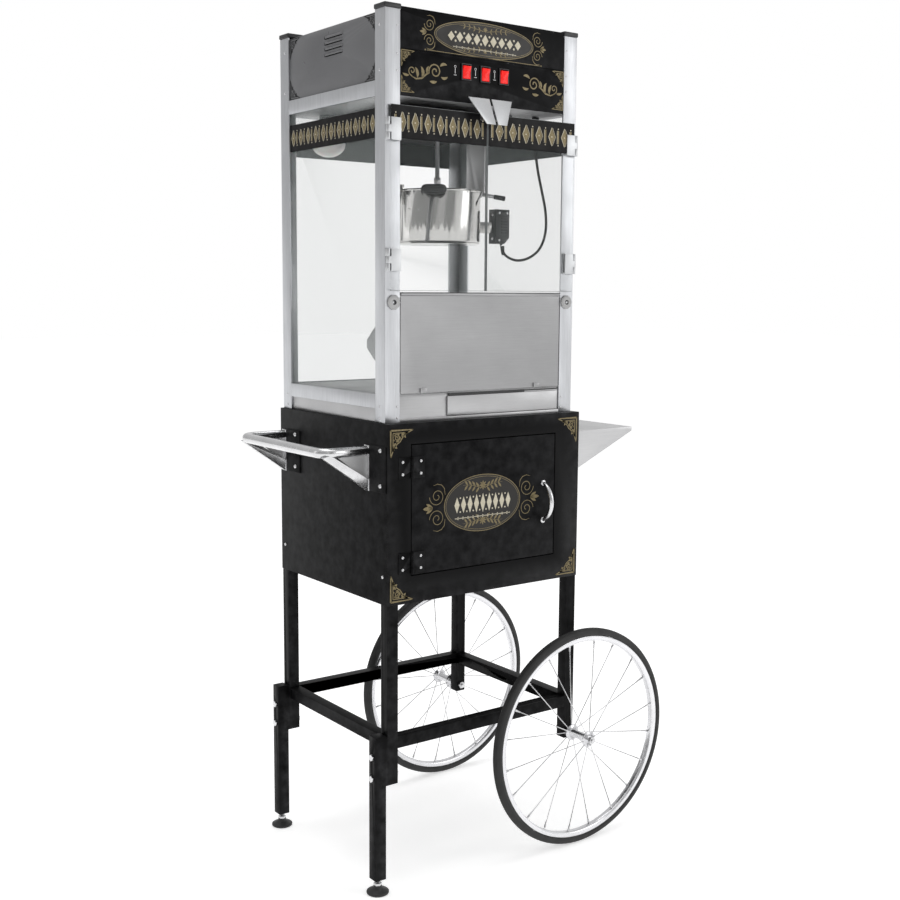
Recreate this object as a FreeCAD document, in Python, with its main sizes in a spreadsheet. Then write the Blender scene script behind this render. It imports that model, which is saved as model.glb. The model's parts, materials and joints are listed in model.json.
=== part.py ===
"""Popcorn maker: a glass-sided popping case that stands on a two-wheeled cart.

Millimetres. +Z up, the front faces -Y. The origin is at the centre of the footprint, on the floor.
"""
import FreeCAD, Part
import Sketcher
import math
import os

from FreeCAD import Vector

doc = FreeCAD.newDocument("popcorn_maker")

# ------------------------------------------------------------------ driving sizes
DRIVING_SIZES = {
    # cart
    "cart_height": 1012.0,
    "cabinet_width": 526.0,
    "cabinet_depth": 454.0,
    "cabinet_tall": 382.0,
    "cabinet_sheet": 1.5,
    "tube_side": 26.0,
    "tube_wall": 1.6,
    "leg_base": 240.0,
    "rail_top": 343.0,
    "joint_plate": 4.0,
    "lower_leg_top": 347.0,
    "lower_leg_base": 32.0,
    "foot_radius": 24.5,
    "door_left": 202.0,
    "door_right": 190.0,
    "door_low": 690.0,
    "door_high": 966.0,
    "door_gap": 2.0,
    "door_fold": 15.0,
    # wheels
    "wheel_radius": 256.0,
    "wheel_plane": 268.0,
    "tyre_width": 22.0,
    "tyre_depth": 17.0,
    "rim_depth": 13.0,
    "rim_width": 19.0,
    "hub_width": 72.0,
    "flange_radius": 19.0,
    "flange_spread": 56.0,
    "axle_radius": 5.0,
    "spoke_count": 20.0,
    "spoke_radius": 1.1,
    # push handle and shelf
    "handle_reach": 382.0,
    "handle_radius": 11.0,
    "handle_drop": 61.0,
    "handle_front": 152.0,
    "handle_rear": 206.0,
    "shelf_reach": 182.0,
    "shelf_depth": 426.0,
    "shelf_drop": 46.0,
    "shelf_side": 92.0,
    # popping case
    "case_width": 510.0,
    "case_depth": 431.0,
    "case_tall": 832.0,
    "case_setback": 10.0,
    "post_side": 37.0,
    "post_wall": 4.0,
    "cap_tall": 10.0,
    "base_tall": 55.0,
    "base_wall": 2.0,
    "bar_tall": 30.0,
    "ceiling_low": 664.0,
    "glass_wall": 4.0,
    "panel_seam": 757.0,
    "pane_low": 273.0,
    "pane_high": 644.0,
    "dump_pivot": 249.0,
    "drawer_travel": 160.0,
    # kettle
    "kettle_side": 29.0,
    "kettle_radius": 99.0,
    "kettle_tall": 120.0,
    "kettle_pivot": 500.0,
    "shaft_radius": 5.0,
    # running clearances
    "running_fit": 0.06,
}

sheet = doc.addObject("Spreadsheet::Sheet", "Sizes")
for row, (alias, number) in enumerate(DRIVING_SIZES.items(), start=1):
    sheet.set(f"A{row}", alias)
    sheet.set(f"B{row}", str(number))
    sheet.setAlias(f"B{row}", alias)
doc.recompute()


class Size:
    """A length that carries its number together with the sheet formula that gives it."""

    def __init__(self, number, formula):
        self.number = number
        self.formula = formula

    def __add__(self, other):
        other = as_size(other)
        return Size(self.number + other.number, f"({self.formula} + {other.formula})")

    def __sub__(self, other):
        other = as_size(other)
        return Size(self.number - other.number, f"({self.formula} - {other.formula})")

    def __mul__(self, factor):
        return Size(self.number * factor, f"({self.formula} * {factor})")

    def __truediv__(self, divisor):
        return Size(self.number / divisor, f"({self.formula} / {divisor})")

    def __neg__(self):
        return Size(-self.number, f"(0 - {self.formula})")

    def __radd__(self, other):
        return as_size(other) + self

    def __rsub__(self, other):
        return as_size(other) - self

    def __float__(self):
        return float(self.number)

    __rmul__ = __mul__


def as_size(value):
    """A Size as it is, or a plain number as a Size."""
    if isinstance(value, Size):
        return value
    return Size(float(value), f"{float(value):.6f}")


def cell(alias):
    """The Size kept in the sheet under this alias."""
    return Size(float(sheet.get(alias)), f"Sizes.{alias}")


# ------------------------------------------------------------------ nodes and primitives
NODES = []


def node(item, label):
    """Registers one finished sub-part under its own label."""
    item.Label = label
    NODES.append(item)
    return item


def bind(item, **sizes):
    """Ties properties of an object to the sheet."""
    for name, size in sizes.items():
        item.setExpression(name, as_size(size).formula)


def place(item, x, y, z, rotation=None):
    """Ties an object's position to the sheet, with a fixed rotation."""
    if rotation is not None:
        item.Placement = FreeCAD.Placement(Vector(0, 0, 0), rotation)
    for letter, size in zip("xyz", (x, y, z)):
        item.setExpression(f"Placement.Base.{letter}", as_size(size).formula)
    return item


ALONG = {
    "+x": FreeCAD.Rotation(Vector(0, 1, 0), 90),
    "-x": FreeCAD.Rotation(Vector(0, 1, 0), -90),
    "+y": FreeCAD.Rotation(Vector(1, 0, 0), -90),
    "-y": FreeCAD.Rotation(Vector(1, 0, 0), 90),
    "+z": FreeCAD.Rotation(),
}


def block(x_span, y_span, z_span):
    """A box between two limits on each axis."""
    item = doc.addObject("Part::Box", "block")
    bind(item, Length=x_span[1] - as_size(x_span[0]), Width=y_span[1] - as_size(y_span[0]),
         Height=z_span[1] - as_size(z_span[0]))
    return place(item, x_span[0], y_span[0], z_span[0])


def rod(x, y, z, radius, length, along="+z"):
    """A cylinder that starts at a point and runs along an axis."""
    item = doc.addObject("Part::Cylinder", "rod")
    bind(item, Radius=radius, Height=length)
    return place(item, x, y, z, ALONG[along])


def hexagon(x, y, z, across, length, along="+z"):
    """A hexagonal prism, as of a nut or a bolt head."""
    item = doc.addObject("Part::Prism", "hexagon")
    item.Polygon = 6
    bind(item, Circumradius=as_size(across) / math.sqrt(3), Height=length)
    return place(item, x, y, z, ALONG[along])


def dome(x, y, z, radius, along):
    """The domed head of a screw: the cap of a ball that is cut off at the seat."""
    item = doc.addObject("Part::Sphere", "dome")
    bind(item, Radius=radius, Angle1=20)
    item.Angle2 = 90
    depth = as_size(radius) * -math.sin(math.radians(20))
    shifts = {"+x": (depth, 0, 0), "-x": (-depth, 0, 0), "+y": (0, depth, 0), "-y": (0, -depth, 0)}
    shift = shifts[along]
    return place(item, x + as_size(shift[0]), y + as_size(shift[1]), z + as_size(shift[2]), ALONG[along])


def fuse(*items):
    """One solid made of several that meet."""
    item = doc.addObject("Part::MultiFuse", "fuse")
    item.Shapes = list(items)
    return item


def cut(base, *tools):
    """A solid less one or more tools."""
    item = doc.addObject("Part::Cut", "cut")
    item.Base = base
    item.Tool = tools[0] if len(tools) == 1 else fuse(*tools)
    return item


def group(*items):
    """Several separate solids in one node."""
    item = doc.addObject("Part::Compound", "group")
    item.Links = list(items)
    return item


def feature(shape):
    """A shape made with Part's own functions."""
    item = doc.addObject("Part::Feature", "shape")
    item.Shape = shape
    return item


# ------------------------------------------------------------------ sketched bodies
def origin_plane(body, role):
    """One of the body's own origin planes or axes."""
    for item in body.Origin.OriginFeatures:
        if item.Role == role:
            return item
    raise ValueError(role)


def outline(body, role, points, offset=0):
    """A closed outline of straight sides; every corner is tied to the sheet."""
    sketch = body.newObject("Sketcher::SketchObject", "outline")
    sketch.AttachmentSupport = [(origin_plane(body, role), "")]
    sketch.MapMode = "FlatFace"
    sketch.setExpression("AttachmentOffset.Base.z", as_size(offset).formula)
    corners = [(as_size(u), as_size(v)) for u, v in points]
    count = len(corners)
    for index, (u, v) in enumerate(corners):
        after_u, after_v = corners[(index + 1) % count]
        start = Vector(u.number, v.number, 0)
        end = Vector(after_u.number, after_v.number, 0)
        sketch.addGeometry(Part.LineSegment(start, end), False)
    for index in range(count):
        sketch.addConstraint(Sketcher.Constraint("Coincident", index, 2, (index + 1) % count, 1))
    for index, (u, v) in enumerate(corners):
        for kind, size in (("DistanceX", u), ("DistanceY", v)):
            number = sketch.addConstraint(Sketcher.Constraint(kind, -1, 1, index, 1, size.number))
            sketch.setExpression(f"Constraints[{number}]", size.formula)
    return sketch


def rectangle(u_span, v_span):
    """The four corners of a rectangle between two limits on each axis."""
    return [(u_span[0], v_span[0]), (u_span[1], v_span[0]), (u_span[1], v_span[1]), (u_span[0], v_span[1])]


def pad(body, sketch, length, midplane=False, backwards=False):
    """Extrudes a sketch into the body's solid."""
    item = body.newObject("PartDesign::Pad", "pad")
    item.Profile = sketch
    bind(item, Length=length)
    item.Midplane = midplane
    item.Reversed = backwards
    return item


def pocket(body, sketch, length, midplane=False, backwards=False):
    """Cuts a sketch out of the body's solid."""
    item = body.newObject("PartDesign::Pocket", "pocket")
    item.Profile = sketch
    bind(item, Length=length)
    item.Midplane = midplane
    item.Reversed = backwards
    return item


def turned(name, points):
    """A body turned about Z: each point is (radius, height)."""
    body = doc.addObject("PartDesign::Body", name)
    sketch = outline(body, "XZ_Plane", points)
    item = body.newObject("PartDesign::Revolution", "turning")
    item.Profile = sketch
    item.ReferenceAxis = (sketch, ["V_Axis"])
    item.Angle = 360
    return body


# ------------------------------------------------------------------ derived places
CASE_X = (cell("handle_reach") - cell("cabinet_width") / 2 + cell("cabinet_sheet")
          + cell("tube_side") / 2 - cell("wheel_radius")) / 2
CABINET_LEFT = CASE_X - cell("cabinet_width") / 2
CABINET_RIGHT = CASE_X + cell("cabinet_width") / 2
CABINET_FRONT = -(cell("cabinet_depth") / 2)
CABINET_REAR = cell("cabinet_depth") / 2
CABINET_TOP = cell("cart_height")
CABINET_BOTTOM = CABINET_TOP - cell("cabinet_tall")
SHEET = cell("cabinet_sheet")
TUBE = cell("tube_side")
LEG_LEFT = CABINET_LEFT + SHEET
LEG_RIGHT = CABINET_RIGHT - SHEET - TUBE
LEG_FRONT = CABINET_FRONT + SHEET
LEG_REAR = CABINET_REAR - SHEET - TUBE
AXLE_X = LEG_RIGHT + TUBE / 2
AXLE_Z = cell("wheel_radius")
RAIL_TOP = cell("rail_top")
LOWER_LEG_X = LEG_LEFT - cell("joint_plate") - TUBE

CASE_Z = CABINET_TOP
CASE_Y = cell("case_setback")
CASE_LEFT = CASE_X - cell("case_width") / 2
CASE_RIGHT = CASE_X + cell("case_width") / 2
CASE_FRONT = CASE_Y - cell("case_depth") / 2
CASE_REAR = CASE_Y + cell("case_depth") / 2
CASE_TOP = CASE_Z + cell("case_tall")
CEILING = CASE_Z + cell("ceiling_low")
POST = cell("post_side")
POST_WALL = cell("post_wall")
GLASS = cell("glass_wall")
BASE_TOP = CASE_Z + cell("base_tall")
BASE_WALL = cell("base_wall")
DECK_TOP = BASE_TOP + BASE_WALL

SIDES = (("front", -1), ("rear", 1))


def both(left, right, front, rear):
    """The four corner places, by name."""
    return {"front_left": (left, front), "front_right": (right, front),
            "rear_left": (left, rear), "rear_right": (right, rear)}


# ------------------------------------------------------------------ cart frame
def tube(x, y, low, high):
    """An upright square tube with its hollow."""
    wall = cell("tube_wall")
    outer = block((x, x + TUBE), (y, y + TUBE), (low, high))
    inner = block((x + wall, x + TUBE - wall), (y + wall, y + TUBE - wall), (low, high))
    return cut(outer, inner)


LEG_BOLT_HEIGHTS = (305, 258)
LEG_BOLT_RADIUS = 4


def leg_bolt_holes(y):
    """The holes of the bolts that join an upper and a lower left-hand leg."""
    start = LOWER_LEG_X - 20
    return [rod(start, y + TUBE / 2, height, LEG_BOLT_RADIUS, 120, "+x") for height in LEG_BOLT_HEIGHTS]


def make_legs():
    for name, (x, y) in both(LEG_LEFT, LEG_RIGHT, LEG_FRONT, LEG_REAR).items():
        leg = tube(x, y, cell("leg_base"), CABINET_TOP - SHEET)
        if "right" in name:
            holes = [rod(AXLE_X, y - 10, AXLE_Z, cell("axle_radius"), 60, "+y")]
        else:
            holes = leg_bolt_holes(y)
        node(cut(leg, *holes), f"leg_{name}")


def make_lower_legs():
    """Short outer legs bolted to the left-hand pair through a spacer plate, each with a foot plate."""
    legs = []
    for y in (LEG_FRONT, LEG_REAR):
        low = cell("lower_leg_base")
        high = cell("lower_leg_top")
        shaft = tube(LOWER_LEG_X, y, low, high)
        foot_plate = block((LOWER_LEG_X, LOWER_LEG_X + TUBE), (y, y + TUBE), (low, low + 4))
        cap = block((LOWER_LEG_X, LOWER_LEG_X + TUBE), (y, y + TUBE), (high, high + 3))
        spacer = block((LOWER_LEG_X + TUBE, LEG_LEFT), (y, y + TUBE), (cell("leg_base"), high))
        thread = rod(LOWER_LEG_X + TUBE / 2, y + TUBE / 2, low - 5, cell("running_fit") + 5, 20)
        legs.append(cut(fuse(shaft, foot_plate, cap, spacer), thread, *leg_bolt_holes(y)))
    node(group(*legs), "lower_legs")


def make_rails():
    """Four square tubes that tie the legs together at one height."""
    wall = cell("tube_wall")
    low = RAIL_TOP - TUBE
    rails = []
    for y in (LEG_FRONT, LEG_REAR):
        span = (LEG_LEFT + TUBE, LEG_RIGHT)
        outer = block(span, (y, y + TUBE), (low, RAIL_TOP))
        inner = block(span, (y + wall, y + TUBE - wall), (low + wall, RAIL_TOP - wall))
        rails.append(cut(outer, inner))
    for x in (LEG_LEFT, LEG_RIGHT):
        span = (LEG_FRONT + TUBE, LEG_REAR)
        outer = block((x, x + TUBE), span, (low, RAIL_TOP))
        inner = block((x + wall, x + TUBE - wall), span, (low + wall, RAIL_TOP - wall))
        rails.append(cut(outer, inner))
    node(group(*rails), "cart_rails")


HANDLE_PLATE_WIDTH = 62
HANDLE_PLATE_THICK = 3
HANDLE_ARM_WIDTH = 19


def handle_plate_y(arm_y):
    """The front edge of the black plate beside a handle arm."""
    return arm_y - HANDLE_ARM_WIDTH / 2 - HANDLE_PLATE_WIDTH


def handle_arms():
    return (-cell("handle_front"), cell("handle_rear"))


def make_frame_bolts():
    """Leg bolts with their nuts, and the domed screws of the cabinet, the plates and the hinges."""
    bolts = []
    for y in (LEG_FRONT + TUBE / 2, LEG_REAR + TUBE / 2):
        for height in LEG_BOLT_HEIGHTS:
            shank = rod(LOWER_LEG_X - 1, y, height, LEG_BOLT_RADIUS, TUBE * 2 + cell("joint_plate") + 8, "+x")
            head = hexagon(LOWER_LEG_X - 5, y, height, 13, 5, "+x")
            nut = hexagon(LEG_LEFT + TUBE, y, height, 13, 6, "+x")
            bolts.append(fuse(shank, head, nut))
    for arm_y in handle_arms():
        for height in (CABINET_TOP - 56, CABINET_TOP - 130):
            y = handle_plate_y(arm_y) + HANDLE_PLATE_WIDTH * 0.3
            bolts.append(dome(CABINET_LEFT - HANDLE_PLATE_THICK, y, height, 5, "-x"))
    for y in (CABINET_FRONT + 18, CABINET_REAR - 18):
        bolts.append(dome(CABINET_LEFT, y, CABINET_BOTTOM + 60, 4, "-x"))
        bolts.append(dome(CABINET_RIGHT, y, CABINET_BOTTOM + 60, 4, "+x"))
    for height in HINGE_HEIGHTS:
        for side in (-1, 1):
            x = HINGE_X - HINGE_SCREW
            bolts.append(dome(x, CABINET_FRONT - HINGE_LEAF, height + side * 13, HINGE_SCREW_RADIUS, "-y"))
    node(group(*bolts), "frame_bolts")


def make_axles():
    """A stub axle through each right-hand leg, clamped by nuts, with a cap nut beyond the hub."""
    axles = []
    nut = 16
    for _, sign in SIDES:
        along = "+y" if sign > 0 else "-y"
        leg_outer = cell("cabinet_depth") / 2 - SHEET
        hub_outer = cell("wheel_plane") + cell("hub_width") / 2
        pieces = [rod(AXLE_X, sign * (leg_outer - TUBE - 12), AXLE_Z, cell("axle_radius"),
                      hub_outer - leg_outer + TUBE + 22, along)]
        gap = cell("wheel_plane") - cell("hub_width") / 2 - leg_outer
        pieces.append(hexagon(AXLE_X, sign * leg_outer, AXLE_Z, nut, gap - 0.3, along))
        pieces.append(hexagon(AXLE_X, sign * (leg_outer - TUBE - 6), AXLE_Z, nut, 6, along))
        pieces.append(hexagon(AXLE_X, sign * (hub_outer + 0.3), AXLE_Z, nut, 6, along))
        axles.append(fuse(*pieces))
    node(group(*axles), "wheel_axles")


# ------------------------------------------------------------------ cabinet
HINGE_X = CASE_X - cell("door_left") - 1
HINGE_HEIGHTS = (CABINET_TOP - 93, CABINET_TOP - 295)
HINGE_LEAF = 1.5
HINGE_BARREL = 3.5
HINGE_TALL = 45
HINGE_SCREW = 23
HINGE_SCREW_RADIUS = 3.6
HINGE_Y = CABINET_FRONT - HINGE_BARREL - 0.1


def make_cabinet():
    """A sheet box, open at the front, with the corner legs passing through its floor."""
    outer = block((CABINET_LEFT, CABINET_RIGHT), (LEG_FRONT, CABINET_REAR), (CABINET_BOTTOM, CABINET_TOP))
    inner = block((CABINET_LEFT + SHEET, CABINET_RIGHT - SHEET), (LEG_FRONT - 1, CABINET_REAR - SHEET),
                  (CABINET_BOTTOM + SHEET, CABINET_TOP - SHEET))
    passages = []
    for x, y in both(LEG_LEFT, LEG_RIGHT, LEG_FRONT, LEG_REAR).values():
        passages.append(block((x, x + TUBE), (y, y + TUBE), (CABINET_BOTTOM - 1, CABINET_BOTTOM + SHEET + 1)))
    node(cut(outer, inner, *passages), "cabinet_body")

    gap = cell("door_gap")
    face = block((CABINET_LEFT, CABINET_RIGHT), (CABINET_FRONT, LEG_FRONT), (CABINET_BOTTOM, CABINET_TOP))
    opening = block((CASE_X - cell("door_left") - gap, CASE_X + cell("door_right") + gap),
                    (CABINET_FRONT - 1, LEG_FRONT + 1), (cell("door_low") - gap, cell("door_high") + gap))
    node(cut(face, opening), "cabinet_face")


def hinge_leaf(height, side):
    """One leaf with its barrel: side -1 is the fixed one with its pin, side +1 the door's."""
    half = HINGE_TALL / 2
    third = HINGE_TALL / 6
    far = HINGE_X + side * 33
    near = HINGE_X + side * 3.5
    x_span = (far, near) if side < 0 else (near, far)
    pieces = [block(x_span, (CABINET_FRONT - HINGE_LEAF, CABINET_FRONT), (height - half, height + half))]
    if side < 0:
        spans = ((-half, -third - 0.1), (third + 0.1, half))
    else:
        spans = ((-third + 0.1, third - 0.1),)
    for low, high in spans:
        pieces.append(rod(HINGE_X, HINGE_Y, height + low, HINGE_BARREL, high - low))
        bridge = (near - 1, HINGE_X) if side < 0 else (HINGE_X, near + 1)
        depth = (CABINET_FRONT - HINGE_LEAF, CABINET_FRONT - 0.1)
        pieces.append(block(bridge, depth, (height + low, height + high)))
    leaf = fuse(*pieces)
    if side > 0:
        return cut(leaf, rod(HINGE_X, HINGE_Y, height - half, cell("running_fit") + 1.7, HINGE_TALL))
    return fuse(leaf, rod(HINGE_X, HINGE_Y, height - half, 1.7, HINGE_TALL))


def make_cabinet_door():
    """A folded pan, flush with the face, with butt-hinge leaves, their screws and a bow pull."""
    fold = cell("door_fold")
    outer = block((CASE_X - cell("door_left"), CASE_X + cell("door_right")),
                  (CABINET_FRONT, CABINET_FRONT + fold), (cell("door_low"), cell("door_high")))
    inner = block((CASE_X - cell("door_left") + SHEET, CASE_X + cell("door_right") - SHEET),
                  (CABINET_FRONT + SHEET, CABINET_FRONT + fold + 1),
                  (cell("door_low") + SHEET, cell("door_high") - SHEET))
    node(cut(outer, inner), "cabinet_door")

    node(group(*[hinge_leaf(height, -1) for height in HINGE_HEIGHTS]), "cabinet_hinges")
    fittings = [hinge_leaf(height, 1) for height in HINGE_HEIGHTS]
    for height in HINGE_HEIGHTS:
        for side in (-1, 1):
            x = HINGE_X + HINGE_SCREW
            fittings.append(dome(x, CABINET_FRONT - HINGE_LEAF, height + side * 13, HINGE_SCREW_RADIUS, "-y"))

    pull_half = 42.5
    pull_rise = 29.0
    bow_radius = (pull_half ** 2 + pull_rise ** 2) / (2 * pull_rise)
    bow = doc.addObject("Part::Torus", "bow")
    bind(bow, Radius1=bow_radius, Radius2=4)
    centre_y = CABINET_FRONT - pull_rise + bow_radius
    place(bow, CASE_X + 158, centre_y, CABINET_TOP - 198.5, ALONG["+x"])
    behind = block((CASE_X + 100, CASE_X + 220), (CABINET_FRONT, CABINET_FRONT + 200),
                   (CABINET_TOP - 320, CABINET_TOP - 80))
    fittings.append(cut(bow, behind))
    node(group(*fittings), "cabinet_door_fittings")


def make_handle():
    """A tube bent into a U, carried by two braced brackets on the cabinet's left side."""
    plates = []
    for arm_y in handle_arms():
        y = handle_plate_y(arm_y)
        plates.append(block((CABINET_LEFT - HANDLE_PLATE_THICK, CABINET_LEFT), (y, y + HANDLE_PLATE_WIDTH),
                            (CABINET_TOP - 144, CABINET_TOP - 47)))
    node(group(*plates), "handle_plates")

    radius = float(cell("handle_radius"))
    grip_x = float(CASE_X - cell("handle_reach")) + radius
    wall_x = float(CABINET_LEFT)
    height = float(CABINET_TOP - cell("handle_drop"))
    front_y = -float(cell("handle_front"))
    rear_y = float(cell("handle_rear"))
    bend = 26.0
    root_x = wall_x - HANDLE_PLATE_THICK
    points = [Vector(root_x, front_y, height), Vector(grip_x, front_y, height),
              Vector(grip_x, rear_y, height), Vector(root_x, rear_y, height)]
    path = rounded_path(points, [bend, bend])
    solids = [sweep(path, radius, points[0], Vector(-1, 0, 0))]
    for arm_y in (front_y, rear_y):
        brace = [(grip_x - 4, height - 8), (grip_x + 14, height - 4),
                 (root_x, height - 60), (root_x, height - 84)]
        solids.append(prism_xz(brace, arm_y - 7, 14))
        gusset = [(grip_x + 30, height), (root_x, height), (root_x, height - 66)]
        solids.append(prism_xz(gusset, arm_y - 1.5, 3))
        seat = Part.makeBox(HANDLE_PLATE_THICK, HANDLE_ARM_WIDTH, 96,
                            Vector(root_x, arm_y - HANDLE_ARM_WIDTH / 2, height - 84))
        solids.append(seat)
    node(feature(solids[0].multiFuse(solids[1:]).removeSplitter()), "push_handle")


def prism_xz(corners, y, thick):
    """A plate with an outline in the XZ plane, from y towards +Y."""
    outline_points = [Vector(x, y, z) for x, z in corners]
    outline_points.append(outline_points[0])
    return Part.Face(Part.makePolygon(outline_points)).extrude(Vector(0, thick, 0))


def rounded_path(points, radii):
    """Straight runs joined by tangent arcs, one radius for each inner point."""
    edges = []
    start = points[0]
    for index, radius in enumerate(radii, start=1):
        corner = points[index]
        toward = (points[index - 1] - corner).normalize()
        onward = (points[index + 1] - corner).normalize()
        half_turn = (math.pi - toward.getAngle(onward)) / 2
        trim = radius * math.tan(half_turn)
        inner = (toward + onward).normalize()
        centre = corner + inner * (radius / math.cos(half_turn))
        first = corner + toward * trim
        last = corner + onward * trim
        edges.append(Part.LineSegment(start, first).toShape())
        edges.append(Part.Arc(first, centre - inner * radius, last).toShape())
        start = last
    edges.append(Part.LineSegment(start, points[-1]).toShape())
    return Part.Wire(edges)


def sweep(path, radius, start, direction):
    """A round tube along a path."""
    circle = Part.Wire(Part.Circle(start, direction, radius).toShape())
    return path.makePipeShell([circle], True, True)


def make_shelf():
    """A folded tray on the cabinet's right: flat top, two tapering sides, open underneath."""
    body = doc.addObject("PartDesign::Body", "shelf")
    reach = cell("shelf_reach")
    side = cell("shelf_side")
    lip = 10
    solid = outline(body, "XZ_Plane", [(0, 0), (0, -side), (SHEET, -side), (reach, -as_size(lip)), (reach, 0)])
    pad(body, solid, cell("shelf_depth"), midplane=True)
    hollow = outline(body, "XZ_Plane", [(SHEET, -SHEET), (SHEET, -side - 20), (reach - SHEET, -as_size(lip) - 20),
                                        (reach - SHEET, -SHEET)])
    pocket(body, hollow, cell("shelf_depth") - SHEET * 2, midplane=True)
    place(body, CABINET_RIGHT, 0, CABINET_TOP - cell("shelf_drop"))
    node(body, "side_shelf")


# ------------------------------------------------------------------ wheels and feet
def make_wheel(name, sign):
    """Tyre, rim, hub and crossed-flange spokes about an axle along Y."""
    radius = cell("wheel_radius")
    plane = sign * cell("wheel_plane")
    seat = radius - cell("tyre_depth")

    ring = doc.addObject("Part::Torus", "ring")
    bind(ring, Radius1=radius - cell("tyre_width") / 2, Radius2=cell("tyre_width") / 2)
    place(ring, AXLE_X, plane, AXLE_Z, ALONG["+y"])
    bed = rod(AXLE_X, plane - 20, AXLE_Z, seat, 40, "+y")
    node(cut(ring, bed), f"{name}_tyre")

    half = cell("rim_width") / 2
    inner = seat - cell("rim_depth")
    lip = 3.5
    rim = turned(f"{name}_rim_body", [(seat, -half + lip), (seat - 3, -half + lip), (seat - 3, -half),
                                      (inner + 5, -half), (inner, -half + 5), (inner, half - 5),
                                      (inner + 5, half), (seat - 3, half), (seat - 3, half - lip),
                                      (seat, half - lip)])
    place(rim, AXLE_X, plane, AXLE_Z, ALONG["+y"])
    node(rim, f"{name}_rim")

    bore = cell("axle_radius") + cell("running_fit")
    end = cell("hub_width") / 2
    out = cell("flange_spread") / 2
    flange = cell("flange_radius")
    hub = turned(f"{name}_hub_body", [(bore, -end), (9, -end), (11, -end + 2), (11, -out - 2), (flange, -out - 2),
                                      (flange, -out + 1), (12, -out + 4), (12, out - 4), (flange, out - 1),
                                      (flange, out + 2), (11, out + 2), (11, end - 2), (9, end), (bore, end)])
    place(hub, AXLE_X, plane, AXLE_Z, ALONG["+y"])
    node(hub, f"{name}_hub")

    doc.recompute()
    centre = Vector(float(AXLE_X), float(plane), float(AXLE_Z))
    count = int(float(cell("spoke_count")))
    wires = []
    for index in range(count):
        angle = 2 * math.pi * (index + 0.5) / count
        outward = Vector(math.cos(angle), 0, math.sin(angle))
        flange_side = 1 if index % 2 else -1
        root = centre + outward * (float(flange) - 4) + Vector(0, flange_side * float(out), 0)
        tip = centre + outward * (float(inner) + 3) + Vector(0, flange_side * 3, 0)
        line = tip - root
        wires.append(Part.makeCylinder(float(cell("spoke_radius")), line.Length, root, line))
    shape = Part.makeCompound(wires).cut(rim.Shape.fuse(hub.Shape))
    whole = [solid for solid in shape.Solids if solid.Volume > 100]
    node(feature(Part.makeCompound(whole)), f"{name}_spokes")


def make_foot(name, y):
    """A levelling foot: a bell disc on a threaded stem with a lock nut."""
    wide = cell("foot_radius")
    stem_top = cell("lower_leg_base") + 30
    foot = turned(f"{name}_body", [(0, 0), (wide - 2, 0), (wide, 2), (wide, 6), (wide - 5, 10), (9, 14), (9, 18),
                                   (9, 24), (5, 24), (5, stem_top), (0, stem_top)])
    place(foot, LOWER_LEG_X + TUBE / 2, y + TUBE / 2, 0)
    node(foot, name)


# ------------------------------------------------------------------ popping case
def make_posts():
    """Angle extrusions at the four corners, opening inwards."""
    for name, (x, y) in both(CASE_LEFT, CASE_RIGHT, CASE_FRONT, CASE_REAR).items():
        body = doc.addObject("PartDesign::Body", f"post_{name}_body")
        inward_x = 1 if "left" in name else -1
        inward_y = 1 if "front" in name else -1
        corners = [(0, 0), (POST, 0), (POST, POST_WALL), (POST_WALL, POST_WALL), (POST_WALL, POST), (0, POST)]
        points = [(as_size(u) * inward_x, as_size(v) * inward_y) for u, v in corners]
        pad(body, outline(body, "XY_Plane", points), cell("case_tall"))
        place(body, x, y, CASE_Z)
        node(body, f"post_{name}")

    caps = []
    over = 2
    for name, (x, y) in both(CASE_LEFT, CASE_RIGHT, CASE_FRONT, CASE_REAR).items():
        x_span = (x - over, x + POST + over) if "left" in name else (x - POST - over, x + over)
        y_span = (y - over, y + POST + over) if "front" in name else (y - POST - over, y + over)
        caps.append(block(x_span, y_span, (CASE_TOP, CASE_TOP + cell("cap_tall"))))
    node(group(*caps), "post_caps")


def make_case_bars():
    """The lower and upper bars between the posts, on the two sides and the rear."""
    bars = []
    levels = (CASE_Z + 29, CEILING)
    for level in levels:
        z_span = (level, level + cell("bar_tall"))
        y_span = (CASE_FRONT + POST, CASE_REAR - POST)
        bars.append(block((CASE_LEFT, CASE_LEFT + POST_WALL), y_span, z_span))
        bars.append(block((CASE_RIGHT - POST_WALL, CASE_RIGHT), y_span, z_span))
        bars.append(block((CASE_LEFT + POST, CASE_RIGHT - POST), (CASE_REAR - POST_WALL, CASE_REAR), z_span))
    node(group(*bars), "case_bars")


def make_glass():
    """Fixed panes on the left, the right and the rear, held behind the posts and bars."""
    z_span = (BASE_TOP, CEILING + cell("bar_tall") - 4)
    y_span = (CASE_FRONT + POST_WALL, CASE_REAR - POST_WALL - GLASS)
    left = block((CASE_LEFT + POST_WALL, CASE_LEFT + POST_WALL + GLASS), y_span, z_span)
    right = block((CASE_RIGHT - POST_WALL - GLASS, CASE_RIGHT - POST_WALL), y_span, z_span)
    rear = block((CASE_LEFT + POST_WALL, CASE_RIGHT - POST_WALL),
                 (CASE_REAR - POST_WALL - GLASS, CASE_REAR - POST_WALL), z_span)
    node(group(left, right, rear), "glass_panels")


DRAWER_LEFT = CASE_X - 91
DRAWER_RIGHT = CASE_X + 209
DRAWER_LOW = CASE_Z + 12
DRAWER_HIGH = CASE_Z + 46


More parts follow.
